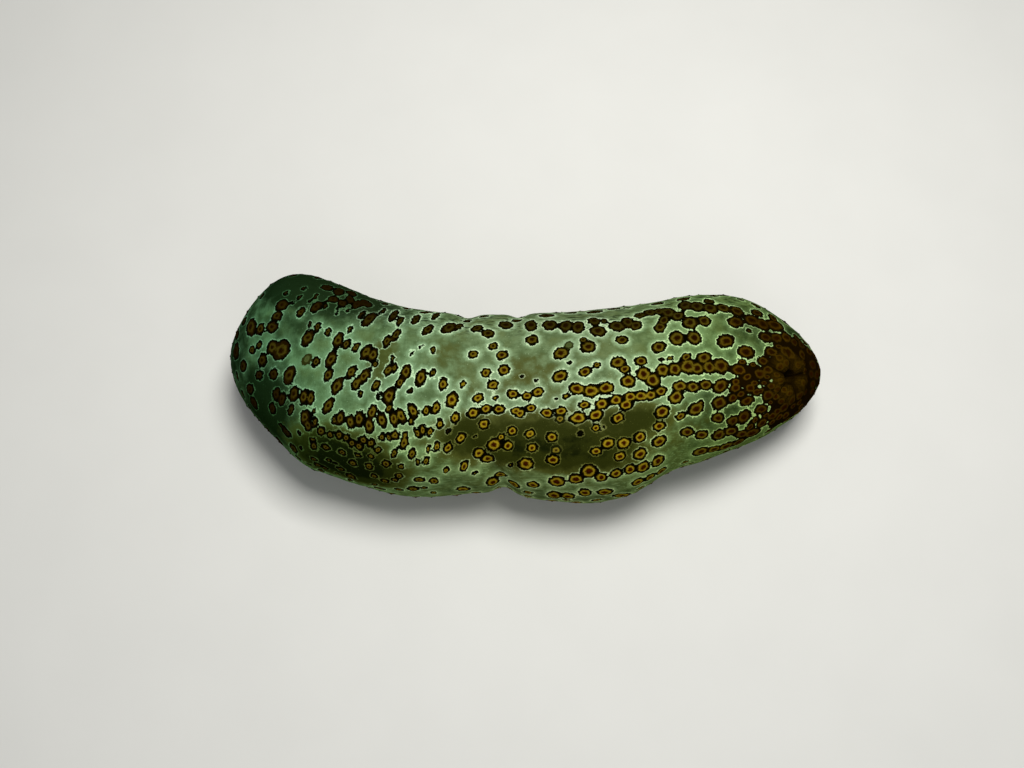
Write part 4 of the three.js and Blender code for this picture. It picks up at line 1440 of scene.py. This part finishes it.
# Width and height as shares of the spot's size, their spreads, and the root's share of the height
PAPILLA_WIDTH = 0.19
PAPILLA_WIDTHS = (0.85, 1.15)
PAPILLA_HEIGHT = 0.07
PAPILLA_HEIGHTS = (0.8, 1.3)
PAPILLA_ROOT = 0.6
PAPILLA_LEAN = 0.12
# Height and radius of each step as shares of the papilla's own
PAPILLA_PROFILE = [(0.3, 0.86), (0.65, 0.62), (0.9, 0.36), (1.0, 0.14)]
SMALLEST_WITH_PAPILLA = 2.3 * MM
FAINTEST_WITH_PAPILLA = 0.5
BARE_ROUND_ANUS = 26 * MM


def papilla_template(mesh_maker):
    extruded_profile(mesh_maker, PAPILLA_SIDES, (-PAPILLA_ROOT, 1.0), PAPILLA_PROFILE)


def standing_on(place, normal, width, height):
    """Matrix that stands a template on the skin, along its normal."""
    turn = normal.to_track_quat("Z", "Y").to_matrix().to_4x4()
    return Matrix.Translation(place) @ turn @ Matrix.Diagonal((width, width, height, 1.0))


def papilla_places():
    for spot in spots:
        size = size_of(spot)
        bare = size < SMALLEST_WITH_PAPILLA or spot["faint"] > FAINTEST_WITH_PAPILLA
        if bare or np.linalg.norm(spot["place"] - anus_point) < BARE_ROUND_ANUS:
            continue
        index = skin_lookup.find(spot["place"])[1]
        place = Vector(spot["place"] + relief[index] * spot["normal"])
        normal = (Vector(spot["normal"]) + Vector(random.normal(0, PAPILLA_LEAN, 3))).normalized()
        width = PAPILLA_WIDTH * size * random.uniform(*PAPILLA_WIDTHS)
        height = PAPILLA_HEIGHT * size * random.uniform(*PAPILLA_HEIGHTS)
        yield standing_on(place, normal, width, height)


def papilla_material():
    papilla = Surface("papilla", roughness=0.45, specular=0.0)
    # Papillae darken with the painted shade of their discs
    colour = papilla.mix(papilla.field("painted_disc_shade"), PAPILLA_RUST, PAINTED_SHADE_PAPILLA)
    darker = papilla.ramp(papilla.noise(0.4 * MM), 0.4, 0.7, 0.0, 0.4)
    papilla.colour(papilla.mix(darker, colour, RING_BLACK))
    papilla.bump(papilla.noise(0.25 * MM, 2), 0.1 * MM)
    return papilla.material


papilla_mesh = placed_copies("papillae", papilla_template, list(papilla_places()))
skin_below = [skin_lookup.find(vertex.co)[1] for vertex in papilla_mesh.vertices]
store_field(papilla_mesh, "painted_disc_shade", painted_disc_shade[skin_below])
finish_piece("papillae", papilla_mesh, papilla_material())

# %% [markdown]
# ## Tube feet
# The animal creeps and holds on with hundreds of tube feet, in three bands under the sole. Each
# is a short stalk that ends in a flat sucker on the floor. The template is the same stepped
# extrusion as the papilla's, and its height is set so that each sucker ends at floor level.

# %% Model the tube feet
FOOT_SIDES = 9
FOOT_RADIUS = 0.75 * MM
FOOT_RADII = (0.8, 1.15)
FOOT_TOP = 4.2 * MM
# Level and radius of each step as shares of the foot's own, from the flat sucker up
FOOT_START = (0.0, 1.3)
FOOT_PROFILE = [(0.07, 1.45), (0.16, 1.3), (0.26, 0.82), (0.6, 0.75), (1.0, 0.85)]
FOOT_BANDS = (-0.46, 0.0, 0.46)
FOOT_ROWS = 5
FOOT_STEP = 4.6 * MM
ROW_STEP = 3.4 * MM
FEET_FROM, FEET_TO = 0.17, 0.84
FOOT_DISORDER = 0.9 * MM
SOLE_LEVEL_LIMIT = FOOT_LENGTH + 0.9 * MM
FOOT_CREAM = (0.4, 0.33, 0.14)
SUCKER_BROWN = (0.16, 0.09, 0.03)


def foot_template(mesh_maker):
    extruded_profile(mesh_maker, FOOT_SIDES, FOOT_START, FOOT_PROFILE)
    store_rise(mesh_maker, 1.0)


def even_foot_places():
    """Lengthwise place and place in its band of each foot, before the disorder."""
    for band in FOOT_BANDS:
        for row in range(FOOT_ROWS):
            start = (FEET_FROM - 0.5) * LENGTH + (row % 2) * FOOT_STEP / 2
            for x in np.arange(start, (FEET_TO - 0.5) * LENGTH, FOOT_STEP):
                yield x, band, (row - FOOT_ROWS / 2 + 0.5) * ROW_STEP


def foot_places():
    for x, band, aside in even_foot_places():
        x = x + random.uniform(-1, 1) * FOOT_DISORDER
        beside = x / LENGTH + 0.5
        middle = along(SIDEWAYS, beside) * MM + band * HALF_WIDTH * along(WIDTH_SHARE, beside)
        y = middle + aside + random.uniform(-1, 1) * FOOT_DISORDER
        place = Vector((x, y, 0.0)) + BODY_SHIFT
        sole_above = skin_tree.ray_cast(place, Vector((0, 0, 1)))[0]
        if sole_above is None or sole_above.z > SOLE_LEVEL_LIMIT:
            continue
        spin = Matrix.Rotation(random.uniform(0, math.pi), 4, "Z")
        radius = FOOT_RADIUS * random.uniform(*FOOT_RADII)
        yield Matrix.Translation(place) @ spin @ Matrix.Diagonal((radius, radius, FOOT_TOP, 1.0))


def foot_material():
    foot = Surface("tube_foot", roughness=0.4)
    colour = foot.mix(foot.ramp(foot.field("rise"), 0.12, 0.5), SUCKER_BROWN, FOOT_CREAM)
    blotches = foot.ramp(foot.noise(0.8 * MM), 0.45, 0.75, 0.0, 0.5)
    foot.colour(foot.mix(blotches, colour, SUCKER_BROWN))
    foot.bump(foot.noise(0.3 * MM, 2), 0.1 * MM)
    return foot.material


foot_mesh = placed_copies("tube_feet", foot_template, list(foot_places()))
finish_piece("tube_feet", foot_mesh, foot_material())

# %% [markdown]
# ## Mouth tentacles
# Twenty shield tentacles stand in two circles round the mouth and mop food off the sand. Each is
# a short stalk with a crown like a small cauliflower. One could model each on the spot. Here a
# straight one is extruded once, its crown drawn into lobes, and copies are bent along a curve.

# %% Model the tentacles
# Root, corner and tip of the path as distance from the mouth's middle and height off it, in mm
OUTER_TENTACLE = {"path": [(11, -4.7), (12.2, 1.1), (20, 5.4)], "crown": 3.7 * MM}
INNER_TENTACLE = {"path": [(7.4, -4.7), (7.7, 3.9), (12.5, 7.8)], "crown": 3.0 * MM}
TENTACLES = len(TENTACLE_NODES)
TENTACLE_SIDES = 45
TENTACLE_START = (0.0, 0.4)
# Level along the path and radius as a share of the crown's
TENTACLE_PROFILE = [
    (0.15, 0.36), (0.3, 0.33), (0.45, 0.32), (0.56, 0.34), (0.64, 0.45), (0.69, 0.62), (0.73, 0.78),
    (0.78, 0.9), (0.84, 0.98), (0.9, 1.0), (0.96, 0.97), (1.01, 0.89), (1.05, 0.77), (1.07, 0.62),
    (1.08, 0.46), (1.07, 0.3), (1.05, 0.14),
]
CROWN_LOBES = 9
LOBE_DEPTH = 0.3
KNOB_DEPTH = 0.12
KNOB_ROWS = 13
CROWN_START = (0.6, 0.8)
# Each tentacle has its own upright strip of the unwrap: its share, and the sizes on it
STRIP_MIDDLE = 0.4
STRIP_BOTTOM = 0.2
STRIP_HEIGHT = 0.3
STRIP_HALF_WIDTH = 0.02
TENTACLE_BROWN = (0.045, 0.02, 0.007)
TENTACLE_TIP = (0.16, 0.09, 0.035)


def bent_place(path, level):
    """Point and direction on a curve with three control points, straight on past its end."""
    root, corner, tip = path
    within = min(level, 1.0)
    rest = 1 - within
    direction = 2 * (rest * (corner - root) + within * (tip - corner))
    point = rest**2 * root + 2 * within * rest * corner + within**2 * tip
    return point + (level - within) * direction, direction.normalized()


def knobbed(turn, level):
    """Share that the crown's surface is drawn in: deep between lobes, shallow between knobs."""
    on_crown = float(smoothstep(*CROWN_START, level))
    lobe = 1 - abs(math.cos(CROWN_LOBES * turn / 2)) ** 0.5
    knob = 1 - abs(math.cos(3 * CROWN_LOBES * turn / 2) * math.cos(KNOB_ROWS * level)) ** 0.5
    return on_crown * (LOBE_DEPTH * lobe + KNOB_DEPTH * knob)


def tentacle_move(index):
    """The function that brings a point of the straight tentacle to its place by the mouth."""
    kind = INNER_TENTACLE if index % 2 else OUTER_TENTACLE
    turn = 2 * math.pi * (index + 0.5) / TENTACLES
    normal = MOUTH_FRAME["normal"]
    outwards = math.cos(turn) * MOUTH_FRAME["right"] + math.sin(turn) * MOUTH_FRAME["up"]
    steps = [MM * (radius * outwards + height * normal) for radius, height in kind["path"]]
    path = [Vector(MOUTH_FRAME["point"] + step) + BODY_SHIFT for step in steps]
    sideways = Vector(normal).cross(Vector(outwards))

    def move(point):
        middle, direction = bent_place(path, point.z)
        drawn_in = knobbed(math.atan2(point.y, point.x) + turn, point.z)
        offset = point.x * sideways + point.y * direction.cross(sideways)
        return middle + kind["crown"] * (1 - drawn_in) * offset

    return move


def tentacle_template(mesh_maker):
    extruded_profile(mesh_maker, TENTACLE_SIDES, TENTACLE_START, TENTACLE_PROFILE)
    store_rise(mesh_maker, TENTACLE_PROFILE[-1][0])


def tentacle_uv(index, point):
    strip = (index + STRIP_MIDDLE) / TENTACLES
    upwards = STRIP_BOTTOM + STRIP_HEIGHT * point.z
    return strip + STRIP_HALF_WIDTH * point.x, upwards + STRIP_HALF_WIDTH * point.y


def tentacle_material():
    tentacle = Surface("tentacle", roughness=0.4)
    crown = tentacle.ramp(tentacle.field("rise"), 0.55, 0.95)
    blotches = tentacle.ramp(tentacle.noise(1.1 * MM, 3), 0.4, 0.65)
    tips = tentacle.times(crown, blotches)
    tentacle.colour(tentacle.mix(tips, TENTACLE_BROWN, TENTACLE_TIP))
    tentacle.bump(tentacle.noise(0.4 * MM, 3), 0.25 * MM)
    return tentacle.material


tentacle_moves = [tentacle_move(index) for index in range(TENTACLES)]
tentacle_mesh = joined_copies("oral_tentacles", tentacle_template, tentacle_moves, tentacle_uv)
finish_piece("oral_tentacles", tentacle_mesh, tentacle_material(), TENTACLE_NODES)

# %% [markdown]
# ## Floor and light
# A pale matt floor and large soft lamps, as in a museum's photo studio. The main lamp hangs
# high over the far side, so that the rounded near side falls off softly as in the photo. Two
# weaker ones from the near side keep the shadows open.

# %% Floor, lamps and background
FLOOR_HALF = 3.0
FLOOR_GREY = (0.62, 0.62, 0.6)
FLOOR_MOTTLE = 0.94
FLOOR_MOTTLE_SIZE = 60 * MM
# Place in metres, width in metres, watts, tint
LAMPS = {
    "main": ((0.12, 0.2, 0.95), 0.4, 11.5, (1.0, 0.99, 0.95)),
    "fill": ((-0.9, -0.6, 0.9), 0.9, 1.5, (0.97, 0.99, 1.0)),
    "near": ((0.3, -1.0, 0.8), 0.9, 3.0, (0.97, 0.98, 1.0)),
}
SURROUNDINGS_COLOUR = (0.84, 0.85, 0.84, 1.0)
SURROUNDINGS_STRENGTH = 0.15


def floor_material():
    surface = Surface("studio_floor", roughness=0.85, specular=0.2)
    darker = tuple(FLOOR_MOTTLE * tone for tone in FLOOR_GREY)
    surface.colour(surface.mix(surface.noise(FLOOR_MOTTLE_SIZE, 3), FLOOR_GREY, darker))
    return surface.material


def add_lamp(name, place, width, watts, tint):
    lamp = bpy.data.lights.new(name, "AREA")
    lamp.size = width
    lamp.energy = watts
    lamp.color = tint
    lamp_object = bpy.data.objects.new(name, lamp)
    lamp_object.location = place
    lamp_object.rotation_euler = (-Vector(place)).to_track_quat("-Z", "Y").to_euler()
    bpy.context.collection.objects.link(lamp_object)


plate = bmesh.new()
bmesh.ops.create_grid(plate, x_segments=1, y_segments=1, size=FLOOR_HALF)
floor_mesh = bpy.data.meshes.new("floor")
plate.to_mesh(floor_mesh)
plate.free()
floor_mesh.materials.append(floor_material())
floor = bpy.data.objects.new("floor", floor_mesh)
bpy.context.collection.objects.link(floor)

for name, settings in LAMPS.items():
    add_lamp(name, *settings)

world = bpy.data.worlds.new("studio")
bpy.context.scene.world = world
world.use_nodes = True
surroundings = world.node_tree.nodes["Background"].inputs
surroundings["Color"].default_value = SURROUNDINGS_COLOUR
surroundings["Strength"].default_value = SURROUNDINGS_STRENGTH
bpy.context.scene.view_settings.view_transform = "Standard"
print("lamps", len(LAMPS))
